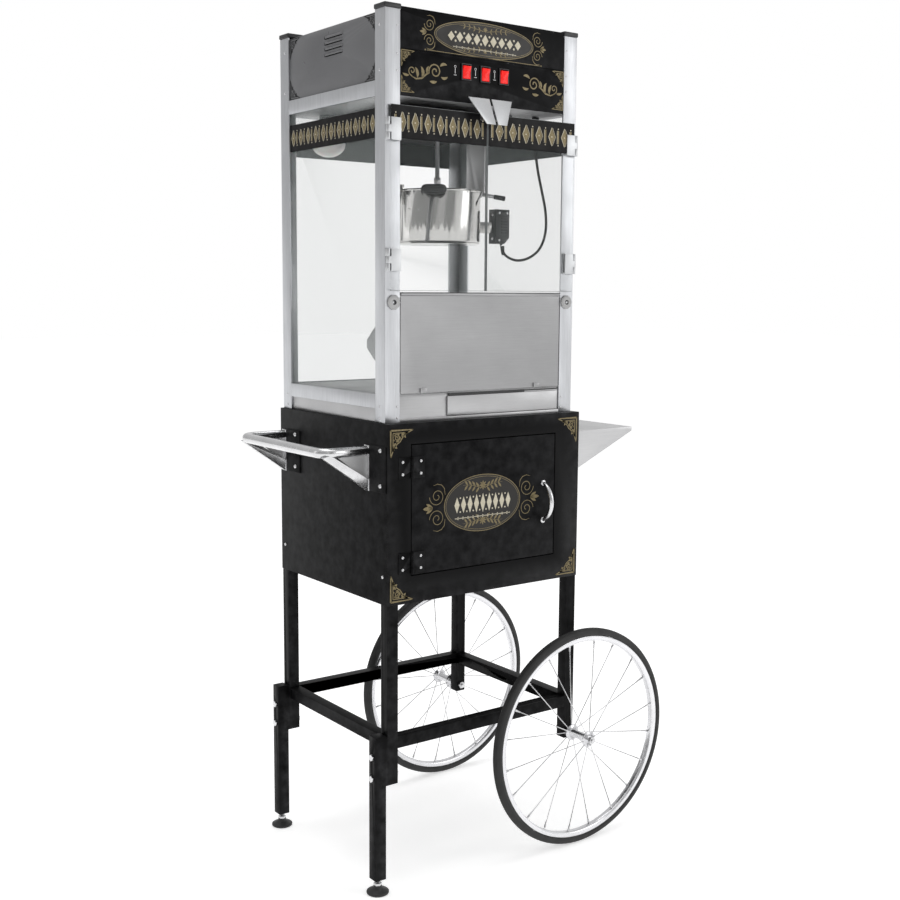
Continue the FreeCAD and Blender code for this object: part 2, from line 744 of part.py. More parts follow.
def make_base():
    """A sheet tray under the case with the crumb drawer's opening in its front, and the slotted deck on it."""
    x_span = (CASE_LEFT + POST_WALL, CASE_RIGHT - POST_WALL)
    y_span = (CASE_FRONT + POST_WALL, CASE_REAR - POST_WALL)
    outer = block(x_span, y_span, (CASE_Z, BASE_TOP))
    inner = block((x_span[0] + BASE_WALL, x_span[1] - BASE_WALL), (y_span[0] + BASE_WALL, y_span[1] - BASE_WALL),
                  (CASE_Z + BASE_WALL, BASE_TOP + 1))
    opening = block((DRAWER_LEFT, DRAWER_RIGHT), (y_span[0] - 1, y_span[0] + BASE_WALL + 1),
                    (DRAWER_LOW, DRAWER_HIGH))
    skirt = block((CASE_LEFT + POST, CASE_RIGHT - POST), (CASE_FRONT, CASE_FRONT + POST_WALL),
                  (CASE_Z, CASE_Z + 7))
    node(fuse(cut(outer, inner, opening), skirt), "case_base")

    inset = GLASS + 0.5
    plate = block((x_span[0] + inset, x_span[1] - inset), (y_span[0], y_span[1] - inset), (BASE_TOP, DECK_TOP))
    slots = []
    for row in range(5):
        for column in range(9):
            x = CASE_X - 76 + column * 32
            y = CASE_Y - 150 + row * 42
            slots.append(block((x, x + 5), (y, y + 34), (BASE_TOP - 1, DECK_TOP + 1)))
    node(cut(plate, *slots), "deck")


def make_drawer():
    """The crumb drawer: a front plate and a shallow tray behind it."""
    gap = 1
    wall = 1.5
    back = CASE_FRONT + 180
    front = block((DRAWER_LEFT - 4, DRAWER_RIGHT + 4), (CASE_FRONT, CASE_FRONT + POST_WALL - 0.3),
                  (DRAWER_LOW - 4, DRAWER_HIGH + 4))
    start = CASE_FRONT + POST_WALL - 0.3
    tray = block((DRAWER_LEFT + gap, DRAWER_RIGHT - gap), (start, back), (DRAWER_LOW + gap, DRAWER_HIGH - gap))
    hollow = block((DRAWER_LEFT + gap + wall, DRAWER_RIGHT - gap - wall), (start + wall, back - wall),
                   (DRAWER_LOW + gap + wall, DRAWER_HIGH + 5))
    node(fuse(front, cut(tray, hollow)), "crumb_drawer")


SWITCH_PLACES = (-53, -3, 47)
SWITCH_Z = CASE_Z + 726
ROCKER_WIDE = 19.4
ROCKER_TALL = 26.0
BEZEL_OPENING = (20.0, 29.0)


CAP_INNER_EDGE = POST + 2.5


def make_header():
    """The box over the popping chamber: front panels, sides, rear, roof and floor."""
    x_span = (CASE_LEFT + POST + 0.2, CASE_RIGHT - POST - 0.2)
    y_span = (CASE_FRONT, CASE_FRONT + POST_WALL)
    seam = CASE_Z + cell("panel_seam")
    openings = []
    for place_x in SWITCH_PLACES:
        x = CASE_X + place_x
        openings.append(block((x - BEZEL_OPENING[0] / 2 - 0.5, x + BEZEL_OPENING[0] / 2 + 0.5),
                              (y_span[0] - 1, y_span[1] + 1),
                              (SWITCH_Z - BEZEL_OPENING[1] / 2 - 0.5, SWITCH_Z + BEZEL_OPENING[1] / 2 + 0.5)))
    switch_panel = cut(block(x_span, y_span, (CEILING, seam - 1)), *openings)
    between_caps = (CASE_LEFT + CAP_INNER_EDGE, CASE_RIGHT - CAP_INNER_EDGE)
    sign_panel = fuse(block(x_span, y_span, (seam, CASE_TOP - 2)),
                      block(between_caps, y_span, (CASE_TOP - 6, CASE_TOP + 6)))
    node(group(switch_panel, sign_panel), "header_front")

    body = doc.addObject("PartDesign::Body", "header_shell_body")
    wide = cell("case_width") - POST_WALL * 2
    deep = cell("case_depth") - POST_WALL * 2
    low = cell("ceiling_low") + cell("bar_tall") - 2
    high = cell("case_tall") - 4
    skin = 1.5
    pad(body, outline(body, "XY_Plane", rectangle((-wide / 2, wide / 2), (-deep / 2, deep / 2)), low), high - low)
    inside = outline(body, "XY_Plane", rectangle((-wide / 2 + skin, wide / 2 - skin),
                                                 (-deep / 2 - 1, deep / 2 - skin)), low)
    pocket(body, inside, high - low - skin, backwards=True)
    louvre = outline(body, "YZ_Plane", rectangle((-deep / 2 + 166, -deep / 2 + 238), (high - 24, high - 18)))
    slots = pocket(body, louvre, cell("case_width"), midplane=True)
    pattern = body.newObject("PartDesign::LinearPattern", "louvres")
    pattern.Originals = [slots]
    pattern.Direction = (louvre, ["V_Axis"])
    pattern.Reversed = True
    pattern.Length = 36
    pattern.Occurrences = 4
    body.Tip = pattern
    place(body, CASE_X, CASE_Y, CASE_Z)
    node(body, "header_shell")

    inset = POST_WALL + GLASS + 0.5
    floor = block((CASE_LEFT + inset, CASE_RIGHT - inset), (CASE_FRONT + POST_WALL, CASE_REAR - inset),
                  (CEILING, CEILING + 2))
    node(cut(floor, rod(KETTLE_X, CASE_Y, CEILING - 1, 12, 5)), "header_floor")


def make_switches():
    """Three rocker switches in their bezels."""
    frames = []
    for place_x in SWITCH_PLACES:
        x = CASE_X + place_x
        frame = block((x - 13, x + 13), (CASE_FRONT - 3, CASE_FRONT), (SWITCH_Z - 17, SWITCH_Z + 17))
        hole = block((x - BEZEL_OPENING[0] / 2, x + BEZEL_OPENING[0] / 2), (CASE_FRONT - 4, CASE_FRONT + 1),
                     (SWITCH_Z - BEZEL_OPENING[1] / 2, SWITCH_Z + BEZEL_OPENING[1] / 2))
        frames.append(cut(frame, hole))
    node(group(*frames), "switch_bezels")

    half = ROCKER_TALL / 2
    profile = [(-6.5, 0), (-8.5, half), (-4, half), (6, 8), (6, -8), (-4, -half), (-8.5, -half)]
    for number, place_x in enumerate(SWITCH_PLACES, start=1):
        body = doc.addObject("PartDesign::Body", f"rocker_{number}_body")
        pad(body, outline(body, "YZ_Plane", profile), ROCKER_WIDE, midplane=True)
        tilt = FreeCAD.Rotation(Vector(1, 0, 0), ROCKER_REST_TILT)
        place(body, CASE_X + place_x, CASE_FRONT + ROCKER_PIVOT_DEPTH, SWITCH_Z, tilt)
        node(body, f"rocker_{number}")


ROCKER_REST_TILT = 7.0
ROCKER_PIVOT_DEPTH = 3.0


# ------------------------------------------------------------------ case doors
PANE_STANDOFF = 3.5
DOOR_AXIS_INSET = 4.0
CLAMP_HEIGHTS = (CASE_Z + 596, CASE_Z + 335)
CLAMP_TALL = 45.0
CLAMP_THICK = 10.0
CLAMP_BARREL = 5.0
PANE_BACK = CASE_FRONT - PANE_STANDOFF
PANE_FRONT = PANE_BACK - GLASS
DOOR_AXIS_Y = PANE_FRONT + GLASS / 2


def door_axis_x(sign):
    return (CASE_LEFT + DOOR_AXIS_INSET) if sign < 0 else (CASE_RIGHT - DOOR_AXIS_INSET)


def mirrored_span(sign, start, end):
    """A span measured inwards from the hinge axis of the left (-1) or right (+1) door."""
    axis = door_axis_x(sign)
    return (axis + start, axis + end) if sign < 0 else (axis - end, axis - start)


def make_case_door(name, sign):
    """A glass pane with two clamp hinges at its outer edge and a bent pull at its top inner corner."""
    third = CLAMP_TALL / 6
    pane_edge = door_axis_x(sign) - sign * (CLAMP_BARREL + 0.5)
    centre_gap = CASE_X + sign * 1.5
    x_span = (pane_edge, centre_gap) if sign < 0 else (centre_gap, pane_edge)
    node(block(x_span, (PANE_FRONT, PANE_BACK), (CASE_Z + cell("pane_low"), CASE_Z + cell("pane_high"))),
         f"{name}_pane")

    fittings = []
    y_span = (DOOR_AXIS_Y - CLAMP_THICK / 2, DOOR_AXIS_Y + CLAMP_THICK / 2)
    for height in CLAMP_HEIGHTS:
        jaw = block(mirrored_span(sign, CLAMP_BARREL, CLAMP_BARREL + 24), y_span,
                    (height - CLAMP_TALL / 2, height + CLAMP_TALL / 2))
        slot = block(mirrored_span(sign, CLAMP_BARREL + 0.5, CLAMP_BARREL + 25), (PANE_FRONT, PANE_BACK),
                     (height - CLAMP_TALL, height + CLAMP_TALL))
        low = height - third + 0.2
        barrel = rod(door_axis_x(sign), DOOR_AXIS_Y, low, CLAMP_BARREL, third * 2 - 0.4)
        bridge = block(mirrored_span(sign, 0, CLAMP_BARREL + 0.5), y_span, (low, height + third - 0.2))
        bore = rod(door_axis_x(sign), DOOR_AXIS_Y, height - CLAMP_TALL, cell("running_fit") + 2, CLAMP_TALL * 2)
        fittings.append(cut(fuse(cut(jaw, slot), barrel, bridge), bore))
    fittings.append(door_pull(sign))
    node(group(*fittings), f"{name}_fittings")


def door_pull(sign):
    """A tapering tab that leans outwards towards its lower end, on a foot at the pane's top edge."""
    top = float(CASE_Z + cell("pane_high"))
    face = float(PANE_FRONT)
    seam = float(CASE_X)
    thick = 2.5
    high, low = top + 30, top - 25
    high_y, low_y = face - 9, face - 33
    corners = [(3, high_y, high), (58, high_y, high), (27, low_y, low), (3, low_y, low)]
    outer = [Vector(seam + sign * across, y, z) for across, y, z in corners]
    tab = Part.Face(Part.makePolygon(outer + [outer[0]])).extrude(Vector(0, thick, 0))
    foot_low, foot_high = top - 14, top
    foot_corners = [(face, foot_low), (low_y + 6.5, foot_low), (low_y + 12.5, foot_high), (face, foot_high)]
    foot_start = seam + sign * 15 - 6
    points = [Vector(foot_start, y, z) for y, z in foot_corners]
    foot = Part.Face(Part.makePolygon(points + [points[0]])).extrude(Vector(12, 0, 0))
    return feature(tab.fuse(foot).removeSplitter())


def make_fixed_clamps():
    """What the front posts carry: four clamp-hinge halves with pins, and the dump panel's two pivots."""
    clamps = dump_pivots()
    for sign in (-1, 1):
        axis_x = door_axis_x(sign)
        for height in CLAMP_HEIGHTS:
            third = CLAMP_TALL / 6
            half = CLAMP_TALL / 2
            pieces = [rod(axis_x, DOOR_AXIS_Y, height - half, 2, CLAMP_TALL)]
            for low, high in ((-half, -third), (third, half)):
                pieces.append(rod(axis_x, DOOR_AXIS_Y, height + low, CLAMP_BARREL - 0.4, high - low))
                link = block((axis_x - 3.9, axis_x + 3.9), (DOOR_AXIS_Y, CASE_FRONT),
                             (height + low, height + high))
                pieces.append(link)
            clamps.append(fuse(*pieces))
    node(group(*clamps), "post_fittings")


def make_dump_panel():
    """The front lower panel: it pivots near its top edge, with deep tapering cheeks behind it."""
    pivot = CASE_Z + cell("dump_pivot")
    half = cell("case_width") / 2 - POST - 2
    front = CASE_FRONT + 0.5
    plate = block((CASE_X - half, CASE_X + half), (front, front + 2), (CASE_Z + 60, CASE_Z + 263))
    bar = rod(CASE_X - half, front + 1, CASE_Z + 266, 4, half * 2, "+x")
    pieces = [plate, bar]
    for sign in (-1, 1):
        edge = CASE_X + sign * half
        inner = edge - sign * 2
        body = doc.addObject("PartDesign::Body", "cheek")
        low = CASE_Z + 64
        cheek = outline(body, "YZ_Plane", [(front + 1, low), (front + 24, low), (front + 130, CASE_Z + 150),
                                           (front + 130, CASE_Z + 168), (front + 24, CASE_Z + 260),
                                           (front + 1, CASE_Z + 260)], edge if sign < 0 else inner)
        pad(body, cheek, 2)
        pieces.append(body)
        knob_x = inner if sign < 0 else inner - 9
        pieces.append(rod(knob_x - 0.5, front + 118, CASE_Z + 159, 5, 9.5, "+x"))
    for offset in (-159, 150):
        x = CASE_X + offset
        pieces.append(block((x - 8, x + 8), (front - 3, front + 1), (CASE_Z + 60, CASE_Z + 70)))
    bore = rod(CASE_X - 300, DUMP_AXIS_Y, pivot, cell("running_fit") + 3, 600, "+x")
    node(cut(fuse(*pieces), bore), "dump_panel")


def dump_pivots():
    """An ear with a pin behind each front post, and a screw head on the post's face."""
    pivot = CASE_Z + cell("dump_pivot")
    half = cell("case_width") / 2 - POST - 2
    pivots = []
    for sign in (-1, 1):
        start = CASE_X + sign * (half - 6)
        seat = CASE_X + sign * (cell("case_width") / 2 - POST_WALL)
        along = "+x" if sign > 0 else "-x"
        pin = rod(start, DUMP_AXIS_Y, pivot, 3, cell("case_width") / 2 - POST_WALL - GLASS - half + 6, along)
        x_span = (CASE_LEFT + POST_WALL + GLASS, CASE_X - half - 0.5) if sign < 0 else (
            CASE_X + half + 0.5, seat - GLASS)
        ear = block(x_span, (CASE_FRONT + POST_WALL, DUMP_AXIS_Y + 5), (pivot - 6, pivot + 6))
        pivots.append(fuse(pin, ear))
        head_x = CASE_X + sign * (cell("case_width") / 2 - POST / 2)
        pivots.append(dome(head_x, CASE_FRONT, pivot, 5, "-y"))
    return pivots


DUMP_AXIS_Y = CASE_FRONT + 9

# ------------------------------------------------------------------ kettle and drive
KETTLE_X = CASE_X + cell("kettle_side")
KETTLE_PIVOT_Z = CASE_Z + cell("kettle_pivot")
KETTLE_TOP = KETTLE_PIVOT_Z - 2
KETTLE_LOW = KETTLE_TOP - cell("kettle_tall")
KETTLE_WALL = 2.0
HOUSING_LOW = CEILING - 40
HANGER_GAP = 16.0
HANGER_THICK = 4
PLUG_SPAN_X = (KETTLE_X + 118, KETTLE_X + 157)
PLUG_SPAN_Y = (CASE_Y - 69, CASE_Y - 42)
PLUG_SPAN_Z = (CASE_Z + 382, CASE_Z + 460)
GLAND_X = CASE_X + 205
GLAND_Y = as_size(-125)
CORD_RADIUS = 3.0


def make_kettle():
    """The tilting pot with its trunnion ears, hinged front lid, tilt handle, terminal plug and stirrer."""
    radius = cell("kettle_radius")
    tall = cell("kettle_tall")
    pot = turned("pot_body", [(0, 0), (radius - 6, 0), (radius, 6), (radius, tall), (radius - KETTLE_WALL, tall),
                              (radius - KETTLE_WALL, 6 + KETTLE_WALL),
                              (radius - 6 - KETTLE_WALL, KETTLE_WALL + 1), (0, KETTLE_WALL + 1)])
    place(pot, KETTLE_X, CASE_Y, KETTLE_LOW)
    pieces = [pot]
    for sign in (-1, 1):
        edge = radius - 1
        x_span = (KETTLE_X - edge - 5, KETTLE_X - edge) if sign < 0 else (KETTLE_X + edge, KETTLE_X + edge + 5)
        pieces.append(block(x_span, (CASE_Y - 9, CASE_Y + 9), (KETTLE_TOP - 34, KETTLE_PIVOT_Z + 8)))
        pin_x = KETTLE_X + sign * (edge + 4)
        pieces.append(rod(pin_x, CASE_Y, KETTLE_PIVOT_Z, 4, HANGER_GAP, "+x" if sign > 0 else "-x"))
    plug_arm_y = (CASE_Y - 62, CASE_Y - 48)
    pieces.append(block((KETTLE_X + 50, PLUG_SPAN_X[0]), plug_arm_y, (CASE_Z + 405, CASE_Z + 430)))
    hollow = rod(KETTLE_X, CASE_Y, KETTLE_LOW + KETTLE_WALL + 1, radius - KETTLE_WALL, tall + 20)
    boss = cut(rod(KETTLE_X, CASE_Y, KETTLE_LOW + KETTLE_WALL, 9, 2.7),
               rod(KETTLE_X, CASE_Y, KETTLE_LOW + KETTLE_WALL + 1, 4 + cell("running_fit"), 5))
    vessel = fuse(cut(fuse(*pieces), hollow), boss)

    lid_radius = radius - KETTLE_WALL - 0.5
    disc = rod(KETTLE_X, CASE_Y, KETTLE_TOP - 2, lid_radius, 3)
    rear_half = block((KETTLE_X - 100, KETTLE_X + 100), (LID_AXIS_Y - 100, LID_AXIS_Y + 0.4),
                      (KETTLE_TOP - 10, KETTLE_TOP + 10))
    hole = rod(KETTLE_X, CASE_Y, KETTLE_TOP - 10, 8, 20)
    node(group(vessel, cut(disc, rear_half, hole)), "kettle_pot")

    front_half = block((KETTLE_X - 100, KETTLE_X + 100), (LID_AXIS_Y - 0.4, LID_AXIS_Y + 200),
                       (KETTLE_TOP - 10, KETTLE_TOP + 10))
    lid_disc = rod(KETTLE_X, CASE_Y, KETTLE_TOP - 2, lid_radius, 3)
    grip_inner = float(radius) + 1.5
    grip = turned_block(LID_GRIP_ANGLE, (grip_inner, grip_inner + 20), 58, (KETTLE_TOP - 15, KETTLE_TOP + 9))
    bridge = turned_block(LID_GRIP_ANGLE, (58, grip_inner + 2.5), 14, (KETTLE_TOP + 0.6, KETTLE_TOP + 5))
    node(fuse(cut(lid_disc, front_half), bridge, grip), "kettle_lid")

    axis_top = Vector(float(KETTLE_X), float(CASE_Y), float(KETTLE_TOP))
    start = axis_top + Vector(0.806, -0.592, 0) * (float(radius) - 5) + Vector(0, 0, -5)
    downward = Vector(0.806, -0.592, -0.17).normalize()
    rod_shape = Part.makeCylinder(4, 42, start, downward)
    sleeve = Part.makeCylinder(5.5, 27, start + downward * 36, downward)
    node(feature(rod_shape.fuse(sleeve).cut(pot_outside())), "kettle_handle")

    case = block(PLUG_SPAN_X, PLUG_SPAN_Y, PLUG_SPAN_Z)
    end = CORD_POINTS[-1]
    boss = doc.addObject("Part::Cylinder", "boss")
    bind(boss, Radius=6, Height=14)
    into_plug = Vector(*end) - Vector(*CORD_POINTS[-2])
    place(boss, CASE_X + end[0], end[1], CASE_Z + end[2],
          FreeCAD.Rotation(Vector(0, 0, 1), into_plug))
    node(fuse(case, boss), "kettle_plug")

    spindle = rod(KETTLE_X, CASE_Y, KETTLE_LOW + KETTLE_WALL + 1.4, 4, tall + 7.6)
    dog = block((KETTLE_X - 7, KETTLE_X + 7), (CASE_Y - 2, CASE_Y + 2), (KETTLE_PIVOT_Z + 2, KETTLE_PIVOT_Z + 8))
    arm = block((KETTLE_X - 66, KETTLE_X + 66), (CASE_Y - 3, CASE_Y + 3), (KETTLE_LOW + 5, KETTLE_LOW + 9))
    wire = block((KETTLE_X - 3, KETTLE_X + 3), (CASE_Y - 48, CASE_Y + 48), (KETTLE_LOW + 40, KETTLE_LOW + 44))
    node(fuse(spindle, dog, arm, wire), "stirrer")


LID_AXIS_Y = CASE_Y - 14
LID_GRIP_ANGLE = 230.6


def turned_block(angle, out_span, wide, z_span):
    """A box that points outwards from the kettle's axis at an angle about it."""
    item = doc.addObject("Part::Box", "turned_block")
    bind(item, Length=out_span[1] - out_span[0], Width=wide, Height=z_span[1] - z_span[0])
    turn = FreeCAD.Rotation(Vector(0, 0, 1), angle)
    corner = turn.multVec(Vector(out_span[0], -wide / 2, 0))
    return place(item, KETTLE_X + corner.x, CASE_Y + corner.y, z_span[0], turn)


def pot_outside():
    """The pot's outer cylinder, for trimming what ends on it."""
    return Part.makeCylinder(float(cell("kettle_radius")), 400,
                             Vector(float(KETTLE_X), float(CASE_Y), float(KETTLE_LOW) - 100))


def make_drive():
    """Motor housing under the ceiling, the drive shaft with its coupling, and the kettle's hanger."""
    outer = block((CASE_X - 146, CASE_X + 150), (CASE_Y - 120, CASE_Y + 180), (HOUSING_LOW, CEILING))
    inner = block((CASE_X - 144, CASE_X + 148), (CASE_Y - 118, CASE_Y + 178), (HOUSING_LOW + 2, CEILING + 1))
    bearing = rod(KETTLE_X, CASE_Y, HOUSING_LOW + 1, 14, 12)
    bore = rod(KETTLE_X, CASE_Y, HOUSING_LOW - 5, cell("shaft_radius") + cell("running_fit"), 60)
    node(cut(fuse(cut(outer, inner), bearing), bore), "motor_housing")

    shaft_low = KETTLE_PIVOT_Z + 13
    shaft = rod(KETTLE_X, CASE_Y, shaft_low + 4, cell("shaft_radius"), HOUSING_LOW - shaft_low + 20)
    coupling = rod(KETTLE_X, CASE_Y, shaft_low, 7.5, 16)
    collar = rod(KETTLE_X, CASE_Y, HOUSING_LOW + 13.5, 9, 4)
    node(fuse(shaft, coupling, collar), "drive_shaft")

    arms = []
    for sign in (-1, 1):
        offset = cell("kettle_radius") + 3 + HANGER_GAP - 6
        start = KETTLE_X - offset - HANGER_THICK if sign < 0 else KETTLE_X + offset
        x_span = (start, start + HANGER_THICK)
        y_span = (CASE_Y - 12, CASE_Y + 12) if sign < 0 else (CASE_Y - 30, CASE_Y + 38)
        strap = block(x_span, y_span, (KETTLE_PIVOT_Z - 8, HOUSING_LOW))
        bore = rod(KETTLE_X, CASE_Y, KETTLE_PIVOT_Z, cell("running_fit") + 4, 160, "+x" if sign > 0 else "-x")
        arms.append(cut(strap, bore))
    node(group(*arms), "kettle_hanger")

    lamp = turned("lamp_body", [(0, 0), (16, 2), (29, 10), (37, 24), (39, 39), (36, 53), (28, 66), (18, 78),
                                (14, 92), (0, 92)])
    place(lamp, CASE_X - 175, CASE_Y + 140, CEILING - 108)
    node(lamp, "lamp_bulb")
    holder = rod(CASE_X - 175, CASE_Y + 140, CEILING - 16, 20, 16)
    gland = rod(GLAND_X, GLAND_Y, CEILING - 14, 8, 14)
    node(group(holder, gland), "lamp_holder_and_gland")


# The kettle cord's route, from the gland in the ceiling down and round to the underside of the plug.
# Each point is (right of the case's centre, behind the cart's centre, above the cabinet's top).
CORD_POINTS = (
    (205, -125, 650), (205, -125, 602), (208, -130, 551), (217, -136, 502), (228, -139, 456),
    (235, -134, 411), (230, -122, 371), (212, -104, 349), (192, -84, 342), (177, -66, 350),
    (171, -54, 363), (173, -50, 376),
)


def make_cord():
    """A limp round cord: straight runs joined by tangent arcs."""
    origin = Vector(float(CASE_X), 0, float(CASE_Z))
    points = [origin + Vector(*point) for point in CORD_POINTS]
    radii = []
    for index in range(1, len(points) - 1):
        back = points[index - 1] - points[index]
        ahead = points[index + 1] - points[index]
        half_turn = (math.pi - back.getAngle(ahead)) / 2
        radii.append(0.45 * min(back.Length, ahead.Length) / math.tan(half_turn))
    path = rounded_path(points, radii)
    cord = sweep(path, CORD_RADIUS, points[0], points[1] - points[0])
    expected = math.pi * CORD_RADIUS ** 2 * path.Length
    print("cord length", round(path.Length, 1), "radii", [round(radius) for radius in radii])
    print("cord volume over section times length", round(cord.Volume / expected, 4))
    node(feature(cord), "kettle_cord")


# ------------------------------------------------------------------ build, check and write
make_legs()
make_lower_legs()
make_rails()
make_frame_bolts()
make_axles()
make_cabinet()
make_cabinet_door()
make_handle()
make_shelf()
for wheel_name, wheel_sign in SIDES:
    make_wheel(f"wheel_{wheel_name}", wheel_sign)
make_foot("foot_front", LEG_FRONT)
make_foot("foot_rear", LEG_REAR)
make_posts()
make_case_bars()
make_glass()
make_base()
make_drawer()
make_header()
make_switches()
make_case_door("door_left", -1)
make_case_door("door_right", 1)
make_fixed_clamps()
make_dump_panel()
make_kettle()
make_drive()
make_cord()

doc.recompute()
for item in doc.Objects:
    for state in ("Invalid", "Error"):
        if state in item.State:
            raise RuntimeError(f"{item.Name} ({item.Label}) is {state}")
for item in NODES:
    if item.Shape.isNull() or not item.Shape.isValid():
        raise RuntimeError(f"{item.Label} has no valid shape")
    if not item.Shape.Solids:
        raise RuntimeError(f"{item.Label} has no solid")

os.makedirs("parts", exist_ok=True)
for item in NODES:
    item.Shape.exportStep(os.path.join("parts", f"{item.Label}.step"))
print(len(NODES), "sub-parts written")
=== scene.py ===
"""Popcorn maker on a two-wheeled cart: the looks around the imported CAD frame. Metres, +Z up, front to -Y."""
import json
import math
import random

import bmesh
import bpy
from mathutils import Matrix, Vector


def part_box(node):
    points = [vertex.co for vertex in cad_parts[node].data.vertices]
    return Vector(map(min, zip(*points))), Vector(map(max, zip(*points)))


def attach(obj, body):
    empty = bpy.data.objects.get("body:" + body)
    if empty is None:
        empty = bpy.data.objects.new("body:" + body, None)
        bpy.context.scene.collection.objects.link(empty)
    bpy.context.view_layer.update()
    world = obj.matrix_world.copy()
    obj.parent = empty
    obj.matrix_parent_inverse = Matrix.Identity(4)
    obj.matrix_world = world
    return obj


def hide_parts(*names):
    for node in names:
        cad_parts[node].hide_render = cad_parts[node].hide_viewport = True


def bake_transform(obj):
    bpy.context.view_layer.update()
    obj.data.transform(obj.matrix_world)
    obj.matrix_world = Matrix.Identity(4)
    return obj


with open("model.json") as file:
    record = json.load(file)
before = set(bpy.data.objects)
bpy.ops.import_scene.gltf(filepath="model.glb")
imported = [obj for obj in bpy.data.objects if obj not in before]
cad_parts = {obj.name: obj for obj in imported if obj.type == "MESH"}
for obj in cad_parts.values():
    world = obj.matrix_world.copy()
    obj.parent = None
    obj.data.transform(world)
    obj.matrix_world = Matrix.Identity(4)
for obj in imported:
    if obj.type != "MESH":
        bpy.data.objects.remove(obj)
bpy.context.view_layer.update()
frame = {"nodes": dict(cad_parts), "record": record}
random.seed(20)

MM = 0.001
TIP = 0.00001  # a turned profile ends this far from its axis, so that its last ring keeps its area
BODY_OF = {}
for body_name, node_names in frame["record"]["behaviour"]["bodies"].items():
    for node_name in node_names:
        BODY_OF[node_name] = body_name


# ------------------------------------------------------------------ places read from the frame
def span(node):
    """Lowest and highest corner of a CAD node."""
    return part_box(node)


CABINET_LOW, CABINET_HIGH = span("cabinet_face")
CASE_LOW, CASE_HIGH = span("post_front_left")[0], span("post_rear_right")[1]
CASE_X = (CASE_LOW.x + CASE_HIGH.x) / 2
CASE_Y = (CASE_LOW.y + CASE_HIGH.y) / 2
CASE_Z = CABINET_HIGH.z


# ------------------------------------------------------------------ node helpers for materials
class Shader:
    """A Principled material built up with small procedural parts in object space."""

    def __init__(self, name):
        self.material = bpy.data.materials.new(name)
        self.material.use_nodes = True
        self.tree = self.material.node_tree
        self.bsdf = self.tree.nodes["Principled BSDF"]
        self.coords = self.tree.nodes.new("ShaderNodeTexCoord").outputs["Object"]

    def set(self, **values):
        for name, value in values.items():
            self.bsdf.inputs[name.replace("_", " ")].default_value = value
        return self

    def link(self, socket, name):
        self.tree.links.new(socket, self.bsdf.inputs[name])

    def noise(self, scale=100.0, stretch=(1, 1, 1), detail=4.0, roughness=0.55):
        mapping = self.tree.nodes.new("ShaderNodeMapping")
        mapping.inputs["Scale"].default_value = stretch
        self.tree.links.new(self.coords, mapping.inputs["Vector"])
        node = self.tree.nodes.new("ShaderNodeTexNoise")
        node.inputs["Scale"].default_value = scale
        node.inputs["Detail"].default_value = detail
        node.inputs["Roughness"].default_value = roughness
        self.tree.links.new(mapping.outputs["Vector"], node.inputs["Vector"])
        return node.outputs["Fac"]

    def spread(self, fac, low, high, start=0.3, end=0.7):
        """A factor mapped to a range of plain numbers."""
        node = self.tree.nodes.new("ShaderNodeMapRange")
        node.inputs["From Min"].default_value = start
        node.inputs["From Max"].default_value = end
        node.inputs["To Min"].default_value = low
        node.inputs["To Max"].default_value = high
        self.tree.links.new(fac, node.inputs["Value"])
        return node.outputs["Result"]

    def times(self, one, other):
        node = self.tree.nodes.new("ShaderNodeMath")
        node.operation = "MULTIPLY"
        for slot, value in zip(node.inputs, (one, other)):
            if isinstance(value, (int, float)):
                slot.default_value = value
            else:
                self.tree.links.new(value, slot)
        return node.outputs["Value"]

    def blend(self, fac, one, other):
        """A colour between two, each a colour or a socket."""
        node = self.tree.nodes.new("ShaderNodeMix")
        node.data_type = "RGBA"
        self.tree.links.new(fac, node.inputs["Factor"])
        for slot, value in ((node.inputs[6], one), (node.inputs[7], other)):
            if isinstance(value, (tuple, list)):
                slot.default_value = (*value, 1.0)
            else:
                self.tree.links.new(value, slot)
        return node.outputs[2]

    def edges(self, start=0.53, end=0.62):
        """A factor that rises on worn outer edges."""
        geometry = self.tree.nodes.new("ShaderNodeNewGeometry")
        return self.spread(geometry.outputs["Pointiness"], 0.0, 1.0, start, end)

    def bump(self, heights, distance):
        """Bumps stacked on each other, from (factor, strength) pairs."""
        normal = None
        for fac, strength in heights:
            node = self.tree.nodes.new("ShaderNodeBump")
            node.inputs["Strength"].default_value = strength
            node.inputs["Distance"].default_value = distance
            self.tree.links.new(fac, node.inputs["Height"])
            if normal is not None:
                self.tree.links.new(normal, node.inputs["Normal"])
            normal = node.outputs["Normal"]
        self.link(normal, "Normal")
        return self


def powder_coat(name, color, roughness=0.42, worn=(0.06, 0.06, 0.063), gloss=0.3):
    """Black powder coat: fine orange peel, faint cloudiness, edges a little rubbed."""
    shade = Shader(name)
    shade.set(Specular_IOR_Level=gloss)
    cloud = shade.noise(6, detail=5)
    lighter = tuple(channel * 1.18 + 0.0002 for channel in color)
    base = shade.blend(shade.spread(cloud, 0, 1), color, lighter)
    rubbed = shade.times(shade.edges(), shade.spread(shade.noise(45), 0.0, 0.5))
    shade.link(shade.blend(rubbed, base, worn), "Base Color")
    shade.link(shade.spread(shade.noise(28), roughness - 0.03, roughness + 0.04), "Roughness")
    return shade.bump([(shade.noise(520, detail=2), 0.10), (shade.noise(55, detail=2), 0.02)], 0.001).material


